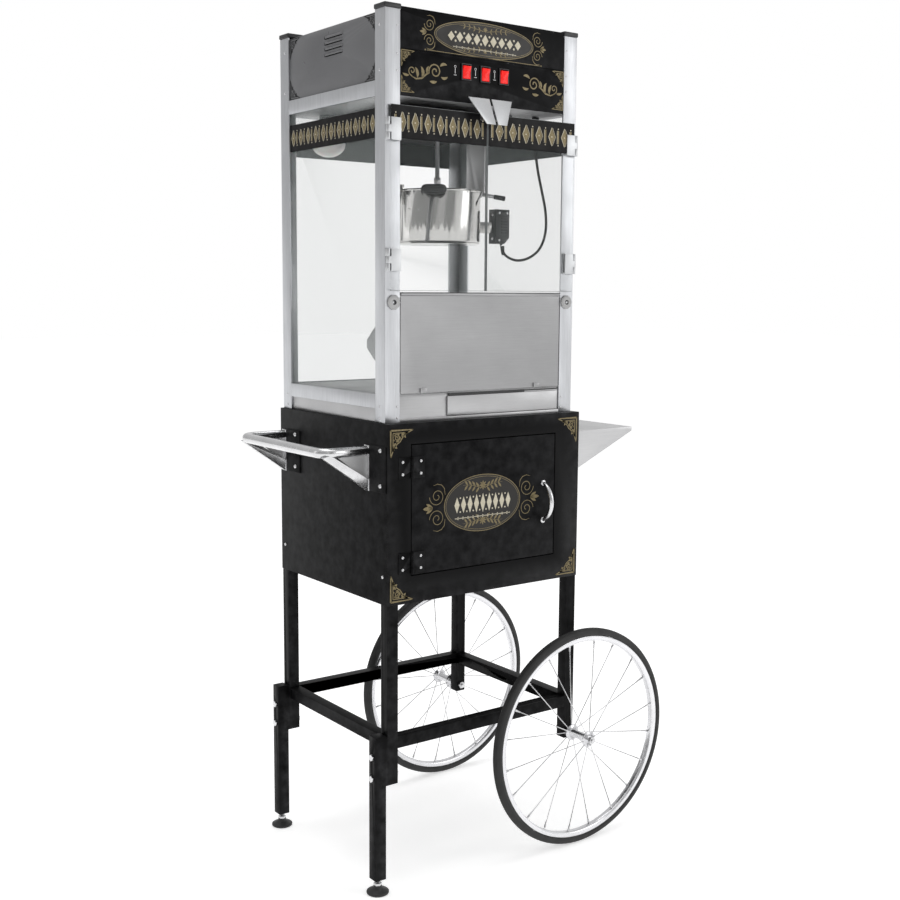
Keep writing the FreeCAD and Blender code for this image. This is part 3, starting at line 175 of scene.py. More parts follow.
def brushed(name, color, roughness, grain, anisotropy=0.5, contrast=0.16, metal=1.0, relief=0.08):
    """Brushed or drawn metal: the grain is stretched along one axis."""
    shade = Shader(name)
    shade.set(Metallic=metal, Anisotropic=anisotropy)
    lines = shade.noise(60, stretch=grain, detail=6, roughness=0.7)
    dark = tuple(channel * (1 - contrast) for channel in color)
    light = tuple(min(1.0, channel * (1 + contrast * 0.6)) for channel in color)
    base = shade.blend(shade.spread(lines, 0, 1), dark, light)
    smudges = shade.noise(7, detail=4)
    smudged = shade.blend(shade.spread(smudges, 0, 0.25), base, tuple(c * 0.82 for c in color))
    shade.link(smudged, "Base Color")
    shade.link(shade.spread(shade.noise(16, detail=5), roughness - 0.05, roughness + 0.09), "Roughness")
    return shade.bump([(lines, relief)], 0.0004).material


def plated(name, color, roughness=0.10):
    """Bright plating with faint polishing marks."""
    shade = Shader(name)
    shade.set(Metallic=1.0)
    haze = shade.noise(24, detail=5)
    shade.link(shade.blend(shade.spread(haze, 0, 0.6), color, tuple(c * 0.8 for c in color)), "Base Color")
    shade.link(shade.spread(shade.noise(70, detail=4), roughness - 0.04, roughness + 0.10), "Roughness")
    return shade.bump([(shade.noise(260, detail=2), 0.03)], 0.0005).material


def moulded(name, color, roughness=0.5, grain=0.12, scale=900):
    """Moulded plastic or rubber with a fine texture."""
    shade = Shader(name)
    base = shade.blend(shade.spread(shade.noise(14), 0, 1), color, tuple(c * 1.35 + 0.003 for c in color))
    shade.link(base, "Base Color")
    shade.link(shade.spread(shade.noise(40), roughness - 0.06, roughness + 0.08), "Roughness")
    return shade.bump([(shade.noise(scale, detail=2), grain)], 0.0006).material


def glass(name, tint, alpha):
    """Clear panes: thin, faintly tinted, with light smears."""
    shade = Shader(name)
    shade.set(Base_Color=(*tint, 1), IOR=1.5)
    shade.set(Specular_IOR_Level=0.5)
    smear = shade.noise(5, stretch=(1, 1, 0.4), detail=6)
    shade.link(shade.spread(smear, 0.01, 0.03), "Roughness")
    fresnel = shade.tree.nodes.new("ShaderNodeLayerWeight")
    fresnel.inputs["Blend"].default_value = 0.25
    shade.link(shade.spread(fresnel.outputs["Fresnel"], alpha, 0.22, 0.0, 1.0), "Alpha")
    return shade.material


MATERIALS = {
    "black_paint": powder_coat("black_paint", (0.0026, 0.0026, 0.0028), gloss=0.06),
    "black_gloss_panel": powder_coat("black_gloss_panel", (0.0024, 0.0024, 0.0027), 0.38, gloss=0.055),
    "black_frame_panel": powder_coat("black_frame_panel", (0.0034, 0.0034, 0.0037), 0.40, gloss=0.09),
    # The header's mid grey is a painted reflection: black paint mirroring the white room, put into its colour
    # as grey.
    "header_grey": powder_coat("header_grey", (0.118, 0.119, 0.124), 0.30, (0.150, 0.151, 0.156), 0.4),
    "film": powder_coat("film", (0.0026, 0.0023, 0.0025), 0.32, gloss=0.09),
    "glass_edge": moulded("glass_edge", (0.15, 0.16, 0.16), 0.25, 0.02, 300),
    "knob_grey": moulded("knob_grey", (0.34, 0.34, 0.34), 0.45, 0.10),
    "aluminium_profile": brushed("aluminium_profile", (0.60, 0.61, 0.63), 0.36, (10, 10, 0.25)),
    "hinge_alloy": brushed("hinge_alloy", (0.60, 0.61, 0.62), 0.42, (6, 6, 6), 0.0, 0.08),
    "stainless": brushed("stainless", (0.38, 0.38, 0.385), 0.36, (0.25, 6, 12), 0.6, 0.08),
    "stainless_light": brushed("stainless_light", (0.50, 0.50, 0.505), 0.36, (0.25, 6, 12), 0.5, 0.08),
    "shelf_steel": brushed("shelf_steel", (0.60, 0.60, 0.605), 0.40, (0.25, 8, 8), 0.4, 0.06),
    "satin_zinc": brushed("satin_zinc", (0.58, 0.58, 0.585), 0.50, (5, 5, 5), 0.0, 0.06, metal=0.55),
    "polished_stainless": brushed("polished_stainless", (0.60, 0.595, 0.58), 0.13, (1.5, 1.5, 14), 0.3, 0.05,
                                  relief=0.012),
    "chrome_plate": plated("chrome_plate", (0.74, 0.74, 0.75), 0.20),
    "zinc_bolts": plated("zinc_bolts", (0.70, 0.70, 0.71), 0.24),
    "steel_shaft": brushed("steel_shaft", (0.52, 0.52, 0.53), 0.28, (8, 8, 2), 0.3),
    "hub_zinc": plated("hub_zinc", (0.72, 0.72, 0.74), 0.18),
    "rim_silver": plated("rim_silver", (0.80, 0.80, 0.82), 0.20),
    "spoke_steel": plated("spoke_steel", (0.66, 0.66, 0.67), 0.22),
    "tyre_rubber": moulded("tyre_rubber", (0.012, 0.012, 0.012), 0.62, 0.2, 700),
    "foot_black": moulded("foot_black", (0.014, 0.014, 0.015), 0.5, 0.15),
    "black_plastic": moulded("black_plastic", (0.013, 0.013, 0.014), 0.42, 0.14),
    "cord_jacket": moulded("cord_jacket", (0.012, 0.012, 0.012), 0.48, 0.08),
    "clear_glass": glass("clear_glass", (0.55, 0.60, 0.59), 0.02),
}


def red_rocker():
    shade = Shader("red_rocker")
    shade.set(Coat_Weight=0.12, Coat_Roughness=0.1)
    deep = shade.blend(shade.spread(shade.noise(60), 0, 1), (0.62, 0.004, 0.003), (0.74, 0.010, 0.006))
    shade.link(deep, "Base Color")
    # Painted glow: a faint red emission makes the rocker brighter than its own colour.
    shade.set(Emission_Color=(0.9, 0.012, 0.006, 1), Emission_Strength=0.35, Specular_IOR_Level=0.25)
    shade.link(shade.spread(shade.noise(120), 0.22, 0.32), "Roughness")
    return shade.material


def frosted_lamp():
    shade = Shader("frosted_lamp")
    base = shade.blend(shade.spread(shade.noise(30), 0, 1), (0.56, 0.55, 0.53), (0.66, 0.65, 0.63))
    shade.link(base, "Base Color")
    shade.set(Subsurface_Weight=0.3, Coat_Weight=0.6, Coat_Roughness=0.12)
    shade.link(shade.spread(shade.noise(50), 0.3, 0.42), "Roughness")
    return shade.material


def printed(name, color, darker, metallic):
    """Printed or foil ornament: slightly mottled, so that it isn't one flat tone."""
    shade = Shader(name)
    shade.set(Metallic=metallic, Specular_IOR_Level=0.4)
    fine = shade.noise(420, detail=3)
    broad = shade.noise(30, detail=3)
    mottled = shade.blend(shade.spread(fine, 0, 1), darker, color)
    shade.link(shade.blend(shade.spread(broad, 0, 0.45), mottled, darker), "Base Color")
    shade.link(shade.spread(broad, 0.34, 0.5), "Roughness")
    return shade.bump([(fine, 0.08)], 0.0003).material


MATERIALS["gold_print"] = printed("gold_print", (0.255, 0.205, 0.105), (0.150, 0.118, 0.058), 0.3)
MATERIALS["cream_print"] = printed("cream_print", (0.66, 0.62, 0.50), (0.50, 0.45, 0.33), 0.0)
MATERIALS["brown_print"] = printed("brown_print", (0.0085, 0.0064, 0.0042), (0.0060, 0.0046, 0.0032), 0.0)
MATERIALS["dark_print"] = printed("dark_print", (0.016, 0.016, 0.017), (0.009, 0.009, 0.010), 0.0)
MATERIALS["white_print"] = printed("white_print", (0.75, 0.75, 0.75), (0.55, 0.55, 0.55), 0.0)
MATERIALS["red_rocker"] = red_rocker()
MATERIALS["frosted_lamp"] = frosted_lamp()


# ------------------------------------------------------------------ mesh helpers
def slot_of(node):
    return [entry["material_slot"] for entry in frame["record"]["subparts"] if entry["node"] == node][0]


def add_piece(name, bm, body, material, smooth=True, replaces=()):
    """A mesh object in the row frame that rides on a body, or on none if body is None."""
    mesh = bpy.data.meshes.new(name)
    bm.normal_update()
    bm.to_mesh(mesh)
    bm.free()
    mesh.materials.append(MATERIALS[material])
    for polygon in mesh.polygons:
        polygon.use_smooth = smooth
    obj = bpy.data.objects.new(name, mesh)
    bpy.context.scene.collection.objects.link(obj)
    if body is not None:
        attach(obj, body)
    if replaces:
        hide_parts(*replaces)
    return obj


def rounded(obj, width, segments=2, angle=28):
    """Rounds an object's sharp edges and keeps the result as its mesh."""
    bevel = obj.modifiers.new("round", "BEVEL")
    bevel.width = width * MM
    bevel.segments = segments
    bevel.limit_method = "ANGLE"
    bevel.angle_limit = math.radians(angle)
    bevel.use_clamp_overlap = True
    bevel.harden_normals = True
    depsgraph = bpy.context.evaluated_depsgraph_get()
    mesh = bpy.data.meshes.new_from_object(obj.evaluated_get(depsgraph))
    obj.modifiers.clear()
    obj.data = mesh
    return obj


def clean_copy(node):
    """A CAD node's shape with its flat faces whole again."""
    bm = bmesh.new()
    bm.from_mesh(frame["nodes"][node].data)
    bmesh.ops.remove_doubles(bm, verts=bm.verts, dist=0.00002)
    bmesh.ops.dissolve_limit(bm, angle_limit=math.radians(1.0), verts=bm.verts, edges=bm.edges)
    return bm


def islands(bm):
    """The separate solids of a mesh, each as (vertices, lowest corner, highest corner)."""
    left = set(bm.verts)
    found = []
    for start in bm.verts:
        if start not in left:
            continue
        left.discard(start)
        group, border = [], [start]
        while border:
            vert = border.pop()
            group.append(vert)
            for edge in vert.link_edges:
                other = edge.other_vert(vert)
                if other in left:
                    left.discard(other)
                    border.append(other)
        low = Vector([min(vert.co[axis] for vert in group) for axis in range(3)])
        high = Vector([max(vert.co[axis] for vert in group) for axis in range(3)])
        found.append((group, low, high))
    return found


def refine(node, width=0.8, only=None, suffix="shape", material=None, segments=2, angle=28):
    """A CAD node's own shape, or some of its solids, with the sharp edges rounded."""
    bm = clean_copy(node)
    if only is not None:
        unwanted = []
        for group, low, high in islands(bm):
            if not only(low, high):
                unwanted += group
        bmesh.ops.delete(bm, geom=unwanted, context="VERTS")
    obj = add_piece(f"{node}_{suffix}", bm, BODY_OF[node], material or slot_of(node),
                    replaces=[node])
    return rounded(obj, width, segments, angle)


def axes_for(direction):
    """Two unit vectors square to a direction."""
    direction = Vector(direction).normalized()
    helper = Vector((0, 0, 1)) if abs(direction.z) < 0.9 else Vector((1, 0, 0))
    side = direction.cross(helper).normalized()
    return direction, side, direction.cross(side)


def lathe(bm, profile, centre, axis, segments=48, closed=False):
    """A surface turned about an axis from (radius, height) pairs in metres."""
    axis, side, other = axes_for(axis)
    centre = Vector(centre)
    rings = []
    for radius, height in profile:
        ring = []
        for step in range(segments):
            turn = 2 * math.pi * step / segments
            ring.append(bm.verts.new(centre + axis * height
                                     + (side * math.cos(turn) + other * math.sin(turn)) * radius))
        rings.append(ring)
    pairs = list(zip(rings, rings[1:]))
    if closed:
        pairs.append((rings[-1], rings[0]))
    for ring, ahead in pairs:
        for step in range(segments):
            after = (step + 1) % segments
            bm.faces.new((ring[step], ring[after], ahead[after], ahead[step]))
    return rings


def tube(bm, points, radii, segments=16):
    """A round bar along a list of points, with a radius at each and closed ends."""
    rings = []
    side = None
    for index, point in enumerate(points):
        back = points[max(index - 1, 0)]
        ahead = points[min(index + 1, len(points) - 1)]
        direction = (ahead - back).normalized()
        if side is None:
            _, side, _ = axes_for(direction)
        side = (side - direction * side.dot(direction)).normalized()
        other = direction.cross(side)
        rings.append([bm.verts.new(point + (side * math.cos(2 * math.pi * step / segments)
                                            + other * math.sin(2 * math.pi * step / segments)) * radii[index])
                      for step in range(segments)])
    for ring, after in zip(rings, rings[1:]):
        for step in range(segments):
            bm.faces.new((ring[step], ring[(step + 1) % segments], after[(step + 1) % segments], after[step]))
    for ring in (rings[0], rings[-1]):
        middle = bm.verts.new(sum((vert.co for vert in ring), Vector()) / segments)
        for step in range(segments):
            bm.faces.new((ring[step], ring[(step + 1) % segments], middle))


def fix_normals(bm):
    bmesh.ops.recalc_face_normals(bm, faces=bm.faces)


def soft_box(bm, low, high):
    """A box from one corner to the other, for rounding afterwards."""
    low, high = Vector(low), Vector(high)
    result = bmesh.ops.create_cube(bm, size=1.0)
    for vert in result["verts"]:
        vert.co = Vector([low[axis] if vert.co[axis] < 0 else high[axis] for axis in range(3)])
    return result["verts"]


def screw_head(bm, place, outward, radius, height, cross=True):
    """A pan head with a socket in it."""
    profile = [(radius, 0), (radius * 0.98, height * 0.35), (radius * 0.8, height * 0.8),
               (radius * 0.45, height), (radius * 0.36, height)]
    if cross:
        profile += [(radius * 0.30, height * 0.55), (TIP, height * 0.5)]
    else:
        profile += [(TIP, height * 1.02)]
    lathe(bm, profile, place, outward, 20)


# ------------------------------------------------------------------ flat ornament: strips of print
class Print:
    """Ornament on a panel: strips in the panel's own plane, a third of a millimetre thick."""

    def __init__(self, origin, across, up, thick=0.0003):
        self.origin = Vector(origin)
        self.across = Vector(across)
        self.up = Vector(up)
        self.out = self.across.cross(self.up)
        self.thick = thick
        self.bm = bmesh.new()

    def at(self, u, v, lift):
        return self.origin + self.across * u * MM + self.up * v * MM + self.out * lift

    def strip(self, points, widths):
        """A band along points in millimetres; widths is one width or one for each point."""
        if isinstance(widths, (int, float)):
            widths = [widths] * len(points)
        rows = []
        for index, (u, v) in enumerate(points):
            back = points[max(index - 1, 0)]
            ahead = points[min(index + 1, len(points) - 1)]
            du, dv = ahead[0] - back[0], ahead[1] - back[1]
            size = math.hypot(du, dv) or 1.0
            nu, nv = -dv / size, du / size
            half = max(widths[index], 0.02) / 2
            row = []
            for side, lift in ((-1, 0.0), (-0.92, self.thick), (0.92, self.thick), (1, 0.0)):
                row.append(self.bm.verts.new(self.at(u + nu * half * side, v + nv * half * side, lift)))
            rows.append(row)
        for row, after in zip(rows, rows[1:]):
            for step in range(3):
                self.bm.faces.new((row[step], row[step + 1], after[step + 1], after[step]))
        for row in (rows[0], rows[-1]):
            self.bm.faces.new(row)

    def dot(self, u, v, radius):
        steps = 8
        points = [(u - radius + 2 * radius * step / steps, v) for step in range(steps + 1)]
        widths = [2 * math.sqrt(max(radius ** 2 - (point[0] - u) ** 2, 0)) for point in points]
        self.strip(points, widths)

    def lozenge(self, u, v, wide, tall):
        self.strip([(u, v - tall / 2), (u, v), (u, v + tall / 2)], [0, wide, 0])

    def ring(self, u, v, across, tall, width, steps=56):
        points = [(u + across * math.cos(2 * math.pi * step / steps),
                   v + tall * math.sin(2 * math.pi * step / steps)) for step in range(steps + 1)]
        self.strip(points, width)

    def finish(self, name, body, material, slot):
        fix_normals(self.bm)
        return add_piece(name, self.bm, body, material, smooth=False)


def spiral(u, v, radius, turns, start, hand=1, steps=30):
    """A curl that winds inwards from its outer end."""
    points = []
    for step in range(steps + 1):
        share = step / steps
        turn = start + hand * share * turns * 2 * math.pi
        reach = radius * (1 - 0.86 * share)
        points.append((u + reach * math.cos(turn), v + reach * math.sin(turn)))
    return points


def leaf(u, v, length, direction, curl=0.0, steps=8):
    """The middle line of a pointed leaf and its widths."""
    points, widths = [], []
    for step in range(steps + 1):
        share = step / steps
        bend = direction + curl * share
        points.append((u + length * share * math.cos(bend), v + length * share * math.sin(bend)))
        widths.append(length * 0.34 * math.sin(math.pi * share) ** 0.8 if 0 < share < 1 else 0)
    return points, widths


def corner_lace(target, u, v, su, sv, leg):
    """A right-angled lace corner: two edge lines, a curl and leaves between them."""
    def to(points):
        return [(u + su * a, v + sv * b) for a, b in points]
    line = leg * 0.045
    target.strip(to([(0, 0), (leg, 0)]), [line * 1.6, line * 0.8])
    target.strip(to([(0, 0), (0, leg)]), [line * 1.6, line * 0.8])
    inner = leg * 0.10
    target.strip(to([(inner, inner), (leg * 0.78, inner)]), line * 0.8)
    target.strip(to([(inner, inner), (inner, leg * 0.78)]), line * 0.8)
    target.strip(to([(leg, 0), (leg * 0.62, leg * 0.16), (leg * 0.50, leg * 0.30), (leg * 0.42, leg * 0.42),
                     (leg * 0.30, leg * 0.50), (leg * 0.16, leg * 0.62), (0, leg)]), line)
    target.strip(to(spiral(leg * 0.27, leg * 0.27, leg * 0.13, 1.5, math.radians(225))), line * 0.9)
    for a, b, length, turn, curl in ((0.46, 0.14, 0.26, 8, 0.5), (0.14, 0.46, 0.26, 82, -0.5),
                                     (0.40, 0.22, 0.16, 60, 0.8), (0.22, 0.40, 0.16, 30, -0.8),
                                     (0.15, 0.15, 0.13, 45, 0.0), (0.58, 0.10, 0.2, 30, -0.6),
                                     (0.10, 0.58, 0.2, 60, 0.6)):
        points, widths = leaf(a * leg, b * leg, length * leg, math.radians(turn), curl)
        target.strip(to(points), [width * 1.25 for width in widths])
    for a, b in ((0.36, 0.13), (0.13, 0.36), (0.50, 0.21), (0.21, 0.50)):
        target.dot(u + su * a * leg, v + sv * b * leg, line * 0.8)


def scroll_spray(target, u, v, side, size):
    """A lying S-scroll with leaves, opening away from the middle."""
    def to(points):
        return [(u + side * a * size, v + b * size) for a, b in points]
    target.strip(to(spiral(0.42, 0.05, 0.26, 1.6, math.radians(200), -1)), size * 0.045)
    target.strip(to([(-0.55, -0.18), (-0.35, -0.26), (-0.12, -0.22), (0.06, -0.08), (0.17, -0.02)]),
                 [size * 0.02, size * 0.05, size * 0.06, size * 0.055, size * 0.045])
    target.strip(to(spiral(-0.50, -0.02, 0.16, 1.3, math.radians(-90), -1)), size * 0.035)
    for a, b, length, turn, curl in ((-0.30, -0.22, 0.34, 70, 0.6), (-0.12, -0.20, 0.36, 50, 0.8),
                                     (0.10, -0.06, 0.26, 110, -0.6), (0.62, 0.22, 0.30, 60, -0.8),
                                     (0.66, -0.10, 0.28, -40, 0.8), (-0.62, -0.16, 0.26, 200, -0.5),
                                     (0.20, -0.28, 0.30, -20, 0.4)):
        points, widths = leaf(a, b, length, math.radians(turn), curl)
        target.strip(to(points), [width * size for width in widths])


# ------------------------------------------------------------------ camera, lights and floor
def add_camera():
    """Seen from the left front, a little above the middle of the case."""
    yaw, pitch, roll = (math.radians(angle) for angle in (-36.243, 7.238, 0.361))
    forward = Vector((-math.sin(yaw) * math.cos(pitch), math.cos(yaw) * math.cos(pitch), -math.sin(pitch)))
    level = Vector((math.cos(yaw), math.sin(yaw), 0))
    above = level.cross(forward)
    right = level * math.cos(roll) + above * math.sin(roll)
    up = above * math.cos(roll) - level * math.sin(roll)
    data = bpy.data.cameras.new("camera")
    data.lens = 50.125
    data.sensor_width = 36.0
    data.clip_end = 100
    camera = bpy.data.objects.new("camera", data)
    rotation = Matrix((right, up, -forward)).transposed().to_4x4()
    camera.matrix_world = Matrix.Translation((CASE_X - 1.6680, -2.3608, 1.2851)) @ rotation
    bpy.context.scene.collection.objects.link(camera)
    bpy.context.scene.camera = camera


def add_light(name, place, target, size, power, color=(1, 1, 1)):
    data = bpy.data.lights.new(name, "AREA")
    data.shape = "RECTANGLE"
    data.size, data.size_y = size
    data.energy = power
    data.color = color
    light = bpy.data.objects.new(name, data)
    light.location = place
    light.rotation_euler = (Vector(target) - Vector(place)).to_track_quat("-Z", "Y").to_euler()
    bpy.context.scene.collection.objects.link(light)


# How bright the room is all round, as (bearing in degrees from the row's right, brightness).
STUDIO_PANELS = (
    (-180, 0.34), (-131, 0.34), (-127, 0.56), (-111, 0.56), (-107, 0.32), (-84, 0.32), (-76, 0.86), (0, 0.90),
    (54, 0.86), (96, 0.78), (101, 0.55), (143, 0.52), (149, 0.92), (171, 0.92), (176, 0.36), (180, 0.34),
)


def add_studio():
    """A white room with darker screens: open and bright on the right, screened at the front and left."""
    world = bpy.data.worlds.new("studio")
    world.use_nodes = True
    tree = world.node_tree
    tree.nodes.clear()
    output = tree.nodes.new("ShaderNodeOutputWorld")
    mix = tree.nodes.new("ShaderNodeMixShader")
    path = tree.nodes.new("ShaderNodeLightPath")
    lit = tree.nodes.new("ShaderNodeBackground")
    lit.inputs["Strength"].default_value = 1.0
    coords = tree.nodes.new("ShaderNodeTexCoord")
    parts = tree.nodes.new("ShaderNodeSeparateXYZ")
    tree.links.new(coords.outputs["Generated"], parts.inputs["Vector"])
    bearing = tree.nodes.new("ShaderNodeMath")
    bearing.operation = "ARCTAN2"
    tree.links.new(parts.outputs["Y"], bearing.inputs[0])
    tree.links.new(parts.outputs["X"], bearing.inputs[1])
    turned = tree.nodes.new("ShaderNodeMapRange")
    turned.inputs["From Min"].default_value = -math.pi
    turned.inputs["From Max"].default_value = math.pi
    tree.links.new(bearing.outputs["Value"], turned.inputs["Value"])
    panels = tree.nodes.new("ShaderNodeValToRGB")
    stops = panels.color_ramp.elements
    for number, (degrees, shade) in enumerate(STUDIO_PANELS):
        stop = stops[number] if number < 2 else stops.new(0.5)
        stop.position = (degrees + 180) / 360
        stop.color = (shade, shade, shade, 1)
    tree.links.new(turned.outputs["Result"], panels.inputs["Fac"])
    height = tree.nodes.new("ShaderNodeMapRange")
    height.interpolation_type = "SMOOTHSTEP"
    height.inputs["From Min"].default_value = 0.35
    height.inputs["From Max"].default_value = 0.85
    tree.links.new(parts.outputs["Z"], height.inputs["Value"])
    dome = tree.nodes.new("ShaderNodeMix")
    dome.data_type = "RGBA"
    tree.links.new(height.outputs["Result"], dome.inputs["Factor"])
    tree.links.new(panels.outputs["Color"], dome.inputs[6])
    dome.inputs[7].default_value = (0.62, 0.62, 0.62, 1)
    tree.links.new(dome.outputs[2], lit.inputs["Color"])
    seen = tree.nodes.new("ShaderNodeBackground")
    seen.inputs["Color"].default_value = (1, 1, 1, 1)
    seen.inputs["Strength"].default_value = 1.0
    tree.links.new(path.outputs["Is Camera Ray"], mix.inputs["Fac"])
    tree.links.new(lit.outputs["Background"], mix.inputs[1])
    tree.links.new(seen.outputs["Background"], mix.inputs[2])
    tree.links.new(mix.outputs["Shader"], output.inputs["Surface"])
    bpy.context.scene.world = world
    bpy.context.scene.view_settings.view_transform = "Standard"

    add_light("key", (2.6, -3.2, 2.4), (CASE_X, 0, 1.1), (1.6, 2.2), 22)
    add_light("side", (-3.4, 1.9, 2.0), (CASE_X, 0, 1.0), (1.4, 2.6), 7)
    add_light("top", (0, 0.2, 4.2), (0, 0, 1.2), (2.8, 2.8), 46)

    bm = bmesh.new()
    bmesh.ops.create_grid(bm, x_segments=1, y_segments=1, size=30)
    mesh = bpy.data.meshes.new("floor")
    bm.to_mesh(mesh)
    bm.free()
    shade = Shader("floor")
    shade.link(shade.blend(shade.noise(2), (0.90, 0.90, 0.90), (0.93, 0.93, 0.93)), "Base Color")
    shade.set(Roughness=0.9, Specular_IOR_Level=0.1)
    shade.set(Emission_Color=(1, 1, 1, 1), Emission_Strength=0.46)
    mesh.materials.append(shade.material)
    floor = bpy.data.objects.new("floor", mesh)
    bpy.context.scene.collection.objects.link(floor)


# ------------------------------------------------------------------ kettle cord
CORD_POINTS = (
    (205, -125, 650), (205, -125, 602), (208, -130, 551), (217, -136, 502), (228, -139, 456),
    (235, -134, 411), (230, -122, 371), (212, -104, 349), (192, -84, 342), (177, -66, 350),
    (171, -54, 363), (173, -50, 376),
)
CORD_DIAMETER = 0.006


def at_case(x, y, z):
    """A point in millimetres right of the case's middle, behind the cart's middle, above the cabinet."""
    return Vector((CASE_X + x * MM, y * MM, CASE_Z + z * MM))


def cord_line():
    """Points along the smooth line of the cord."""
    curve = bpy.data.curves.new("cord_line", "CURVE")
    curve.dimensions = "3D"
    curve.resolution_u = 10
    spline = curve.splines.new("NURBS")
    spline.points.add(len(CORD_POINTS) - 1)
    for point, place in zip(spline.points, CORD_POINTS):
        point.co = (*at_case(*place), 1.0)
    spline.order_u = 3
    spline.use_endpoint_u = True
    carrier = bpy.data.objects.new("cord_line", curve)
    bpy.context.scene.collection.objects.link(carrier)
    mesh = bpy.data.meshes.new_from_object(carrier)
    points = [vert.co.copy() for vert in mesh.vertices]
    bpy.data.objects.remove(carrier)
    bpy.data.meshes.remove(mesh)
    return points


def add_cord():
    points = cord_line()
    bm = bmesh.new()
    tube(bm, points, [CORD_DIAMETER / 2] * len(points), 14)
    fix_normals(bm)
    jacket = add_piece("kettle_cord_jacket", bm, None, "cord_jacket", replaces=["kettle_cord"])
    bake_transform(jacket)

    for name, ends, body in (("cord_relief_top", (points[0], points[1] - points[0]), "frame"),
                             ("cord_relief_plug", (points[-1], points[-2] - points[-1]), "kettle")):
        start, direction = ends
        bm = bmesh.new()
        ribs = []
        for step in range(9):
            radius = 0.0052 - 0.00020 * step
            ribs += [(radius, 0.0022 * step), (radius, 0.0022 * step + 0.0013),
                     (radius - 0.0009, 0.0022 * step + 0.0014), (radius - 0.0009, 0.0022 * step + 0.0021)]
        ribs.append((0.0031, 0.0202))
        lathe(bm, ribs, start, direction, 20)
        fix_normals(bm)
        add_piece(name, bm, body, "cord_jacket")


# ------------------------------------------------------------------ wheels and feet
def wheel_middle(name):
    low, high = span(f"{name}_rim")
    return (low + high) / 2


def add_wheel(name):
    """Tyre with shoulders and tread grooves, a rounded box rim, a turned hub and nippled spokes."""
    middle = wheel_middle(name)
    axis = Vector((0, 1, 0))
    outer, seat = 0.256, 0.239
    half = 0.011

    profile = [(seat + 0.0004, -0.0086), (seat + 0.0024, -0.0100), (seat + 0.0058, -half),
               (seat + 0.0095, -0.01055), (seat + 0.0100, -0.0100), (seat + 0.0106, -0.0102),
               (seat + 0.0132, -0.0088), (seat + 0.0152, -0.0064)]
    for groove in (-0.0042, 0.0, 0.0042):
        profile += [(outer - 0.0004 - abs(groove) * 0.12, groove - 0.0012), (outer - 0.0016, groove - 0.0007),
                    (outer - 0.0016, groove + 0.0007), (outer - 0.0004 - abs(groove) * 0.12, groove + 0.0012)]
    profile += [(radius, -height) for radius, height in reversed(profile[:8])]
    bm = bmesh.new()
    lathe(bm, profile, middle, axis, 168, closed=True)
    fix_normals(bm)
    add_piece(f"{name}_tyre_shape", bm, name, "tyre_rubber",
              replaces=[f"{name}_tyre"])

    edge, inner = 0.0095, 0.226
    side = [(inner + 0.0002, -0.0022), (inner + 0.0008, -0.0058), (inner + 0.0028, -0.0082),
            (inner + 0.0062, -edge + 0.0002), (seat - 0.0012, -edge), (seat - 0.0002, -edge + 0.0006),
            (seat - 0.0002, -0.0075)]
    bm = bmesh.new()
    lathe(bm, side + [(radius, -height) for radius, height in reversed(side)], middle, axis, 168, closed=True)
    fix_normals(bm)
    add_piece(f"{name}_rim_shape", bm, name, "rim_silver", replaces=[f"{name}_rim"])

    bm = bmesh.new()
    hub = [(0.0054, -0.0358), (0.0085, -0.0358), (0.0092, -0.0350), (0.0092, -0.0318), (0.0112, -0.0312),
           (0.0112, -0.0300), (0.0178, -0.0294), (0.0189, -0.0288), (0.0189, -0.0274), (0.0180, -0.0268),
           (0.0128, -0.0260), (0.0108, -0.0226), (0.0096, -0.0150), (0.0092, 0.0)]
    hub += [(radius, -height) for radius, height in reversed(hub[:-1])]
    lathe(bm, hub, middle, axis, 64, closed=True)
    fix_normals(bm)
    add_piece(f"{name}_hub_shape", bm, name, "hub_zinc", replaces=[f"{name}_hub"])

    source = bmesh.new()
    source.from_mesh(frame["nodes"][f"{name}_spokes"].data)
    bmesh.ops.remove_doubles(source, verts=source.verts, dist=0.00002)
    spokes, nipples = bmesh.new(), bmesh.new()
    for group, low, high in islands(source):
        far = max(group, key=lambda vert: (vert.co - middle).length).co
        near = min(group, key=lambda vert: (vert.co - middle).length).co
        heads = [vert.co for vert in group if (vert.co - far).length < 0.004]
        feet = [vert.co for vert in group if (vert.co - near).length < 0.004]
        head = sum(heads, Vector()) / len(heads)
        foot = sum(feet, Vector()) / len(feet)
        run = (head - foot).normalized()
        outward = 1 if foot.y > middle.y else -1
        elbow = foot - run * 0.0015 + Vector((0, 0.0016 * outward, 0))
        tube(spokes, [elbow, foot, foot + run * 0.003, head - run * 0.002], [0.0011] * 4, 8)
        screw_head(spokes, elbow, (0, outward, 0), 0.0022, 0.0011, cross=False)
        nipple = [(0.0011, -0.0165), (0.0017, -0.0160), (0.0019, -0.0080), (0.0024, -0.0070),
                  (0.0026, -0.0015), (0.0019, 0.0)]
        lathe(nipples, nipple, head - run * 0.0008, run, 10)
    source.free()
    for bm, label in ((spokes, "spokes_shape"), (nipples, "nipples")):
        fix_normals(bm)
        add_piece(f"{name}_{label}", bm, name, "spoke_steel",
                  replaces=[f"{name}_spokes"])


